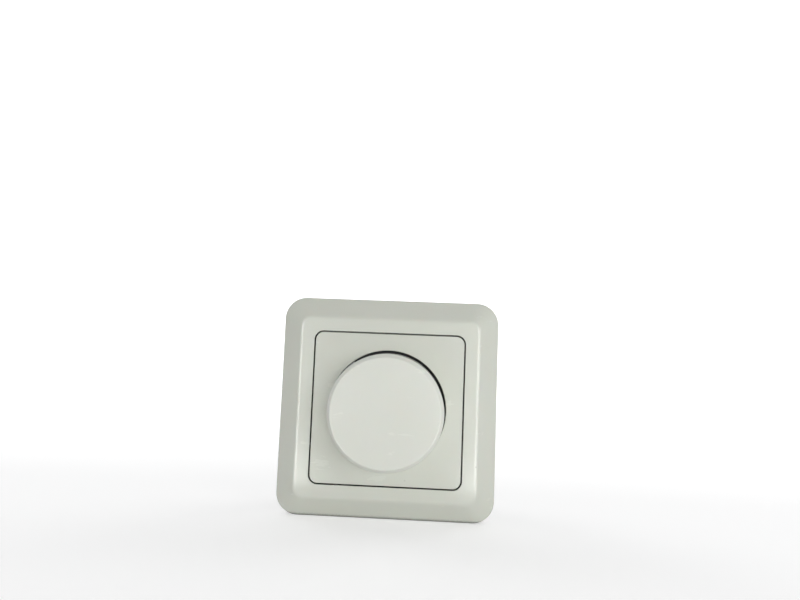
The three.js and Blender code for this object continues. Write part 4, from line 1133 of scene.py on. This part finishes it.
def make_claws():
    """Toothed jaws that ride out on the housing's ramps, and the nuts that push them."""
    gap, rear, length, outer, teeth = 0.15, -22.2, 6.4, 27.9, 4
    top, pitch = rear + length, length / teeth

    def on_ramp(z):
        along = (z - RAMP_Z + gap * sin(RAMP_ANGLE)) / cos(RAMP_ANGLE)
        return (RAMP_X + along * sin(RAMP_ANGLE) + gap * cos(RAMP_ANGLE), z)

    section = [on_ramp(rear), on_ramp(top)]
    for tooth in range(teeth):
        z = top - tooth * pitch
        section += [(outer, z), (outer - 0.6, z - pitch + 0.12), (outer - 0.45, z - pitch)]
    y, half_width, half_slot, half_nut = CLAW_SCREW[1], 4, 1.75, 2.5
    slot_end, nut_inner, nut_outer, nut_rear, nut_front, thread = 26.85, 23.15, 27.25, -24.6, -22.3, 1.6
    for name, sign in SIDES:
        slot = block(0, slot_end, y - half_slot, y + half_slot, -30, 0)
        jaw = bevelled(cut(slab(section, y - half_width, y + half_width), slot), 0.1)
        finish(on_side(jaw, sign), f"jaw_{name}", f"claw_{name}")
        nut = bevelled(block(nut_inner, nut_outer, y - half_nut, y + half_nut, nut_rear, nut_front), 0.3, 3)
        nut = cut(nut, rod(*CLAW_SCREW, thread, -26, -20, 40))
        finish(on_side(nut, sign), f"jaw_nut_{name}", f"claw_nut_{name}")


# ---- Assembly ----

for make in (
    make_frame, make_plate, make_knob, make_screws, make_return_spring, make_support_plate, make_housing,
    make_grip_spring, make_spindle, make_potentiometer, make_wiper, make_cover, make_nut, make_lock_washer,
    make_board, make_triac, make_fuse, make_choke, make_capacitors, make_axial_parts, make_switch,
    make_terminals, make_claws,
):
    make()


# ---- Studio ----


def backdrop_material():
    """Matt white paper that glows as painted light, from none near the dimmer to most at the wall, and looks
    whiter still to the camera further away.
    """
    s = Surface("studio_paper", IOR=1.45)
    paper = s.noise(1.5, detail=6)
    fibres = s.between(paper, 0.3, 0.7)
    s.set("Base Color", s.mix(fibres, (0.62, 0.62, 0.62), (0.60, 0.60, 0.605)))
    s.set("Roughness", 0.8)
    depth = s.add("SeparateXYZ", {0: s.place}).outputs["Y"]
    # Painted light: a glow that rises towards the wall and lights the dimmer from behind.
    glow = s.between(depth, 0.04, 0.5, 0.0, 0.6)
    distance = s.add("VectorMath", {0: s.place}, operation="LENGTH").outputs["Value"]
    # Painted light seen only by the camera: the paper glows more the further it is from the dimmer.
    far_camera_glow = s.between(distance, 0.35, 1.1, 0.5, 0.95)
    seen = s.math("MULTIPLY", s.add("LightPath").outputs["Is Camera Ray"], far_camera_glow)
    s.set("Emission Color", (1, 1, 1))
    s.set("Emission Strength", s.math("ADD", glow, seen))
    s.add_height(paper, 0.01)
    return s.done(0.3)


def make_backdrop():
    """A pale sweep: a floor that curves up into a wall behind the dimmer."""
    ground = CAD_BOX[0].z
    width, front, back, bend, top = 2.4, -1.6, 0.75, 0.35, 2.4
    section = arced([(front, ground, 0), (back, ground, bend), (back, ground + top, 0)], 24)
    count = len(section)
    points = [(x, y, z) for x in (-width, width) for y, z in section]
    faces = [(i, count + i, count + i + 1, i + 1) for i in range(count - 1)]
    mesh = bpy.data.meshes.new("backdrop")
    mesh.from_pydata(points, [], faces)
    mesh.shade_smooth()
    mesh.materials.append(backdrop_material())
    new_object("backdrop", mesh)


def softbox(name, place, aim, width, height, power, tone=(1, 1, 1), hidden_from=()):
    light = bpy.data.lights.new(name, "AREA")
    light.shape, light.size, light.size_y = "RECTANGLE", width, height
    light.energy, light.color = power, tone
    made = new_object(name, light)
    made.location = place
    made.rotation_euler = (Vector(aim) - Vector(place)).to_track_quat("-Z", "Y").to_euler()
    for ray in hidden_from:
        setattr(made, f"visible_{ray}", False)
    return made


def glint_cards(side, sign, degrees, radiance):
    """A standing and a lying card beside the camera. They show only as highlights along the ridges."""
    angle, reach = radians(degrees), 0.25
    hidden = ("camera", "diffuse", "transmission")
    ridge = Vector((sign * (FRAME_SPAN.x1 - RIDGE_INSET) * MM, 0, CAD_BOX[0].z))
    away = Vector((sign * sin(angle), -cos(angle), 0))
    width, height = 0.07, 0.12
    place = ridge + away * reach + Vector((0, 0, height / 2))
    power = radiance * pi * width * height
    softbox(f"{side}_card", place, place - away, width, height, power, hidden_from=hidden)
    width, length = 0.05, 0.20
    place = ridge + away * reach * 0.6 + Vector((0, 0, 0.002))
    power = radiance * pi * width * length
    lying = softbox(f"{side}_floor_card", place, place, width, length, power, hidden_from=hidden)
    lying.rotation_euler = (pi, 0, atan2(away.y, away.x) - pi / 2)


def make_lights():
    world = bpy.data.worlds.new("studio")
    world.use_nodes = True
    tree = world.node_tree
    background = tree.nodes["Background"]
    background.inputs["Color"].default_value = (0.97, 0.985, 1.0, 1.0)
    seen = tree.nodes.new("ShaderNodeLightPath").outputs["Is Camera Ray"]
    strength = tree.nodes.new("ShaderNodeMapRange")
    strength.inputs["To Min"].default_value, strength.inputs["To Max"].default_value = 0.17, 0.95
    tree.links.new(seen, strength.inputs["Value"])
    tree.links.new(strength.outputs[0], background.inputs["Strength"])
    bpy.context.scene.world = world
    middle = DEVICE_TO_WORLD @ Vector((0, 0, PLATE_SPAN.z1))
    warm = (1.0, 0.99, 0.955)
    softbox("front_box", (0.12, -0.80, 0.10), middle, 0.5, 0.25, 2.42, warm, hidden_from=("glossy",))
    softbox("left_window", (-0.40, -0.46, 0.12), middle, 0.2, 0.3, 0.08)
    softbox("right_window", (0.42, -0.46, 0.12), middle, 0.2, 0.3, 0.7)
    for side, sign in SIDES:
        softbox(f"back_{side}", (sign * 0.55, 0.30, 0.5), middle, 0.35, 0.35, 1.2)
    glint_cards("left", -1, 25, 8.0)
    glint_cards("right", 1, 20, 8.5)


def make_camera():
    """A phone's main lens a little over 20 cm in front of the plate, above it and slightly turned."""
    camera = bpy.data.cameras.new("camera")
    camera.sensor_width, camera.lens = 36, 26
    camera.clip_start, camera.clip_end = 0.01, 20
    turn = Vector((-4.5, 2.2, 2.14)) * pi / 180
    shift = Vector((-4.69, 40.03, 211.2)) * MM
    world_to_plate = Matrix(((1, 0, 0), (0, 0, -1), (0, 1, 0)))
    lens_to_world = (Matrix.Rotation(turn.length, 3, turn) @ world_to_plate).transposed()
    flip = Matrix(((1, 0, 0), (0, -1, 0), (0, 0, -1)))
    plate_face = DEVICE_TO_WORLD @ Vector((0, 0, PLATE_SPAN.z1))
    place = Matrix.Translation(plate_face - lens_to_world @ shift)
    made = new_object("camera", camera)
    made.matrix_world = place @ (lens_to_world @ flip).to_4x4()
    bpy.context.scene.camera = made


make_backdrop()
make_lights()
make_camera()
bpy.context.scene.view_settings.view_transform = "Standard"
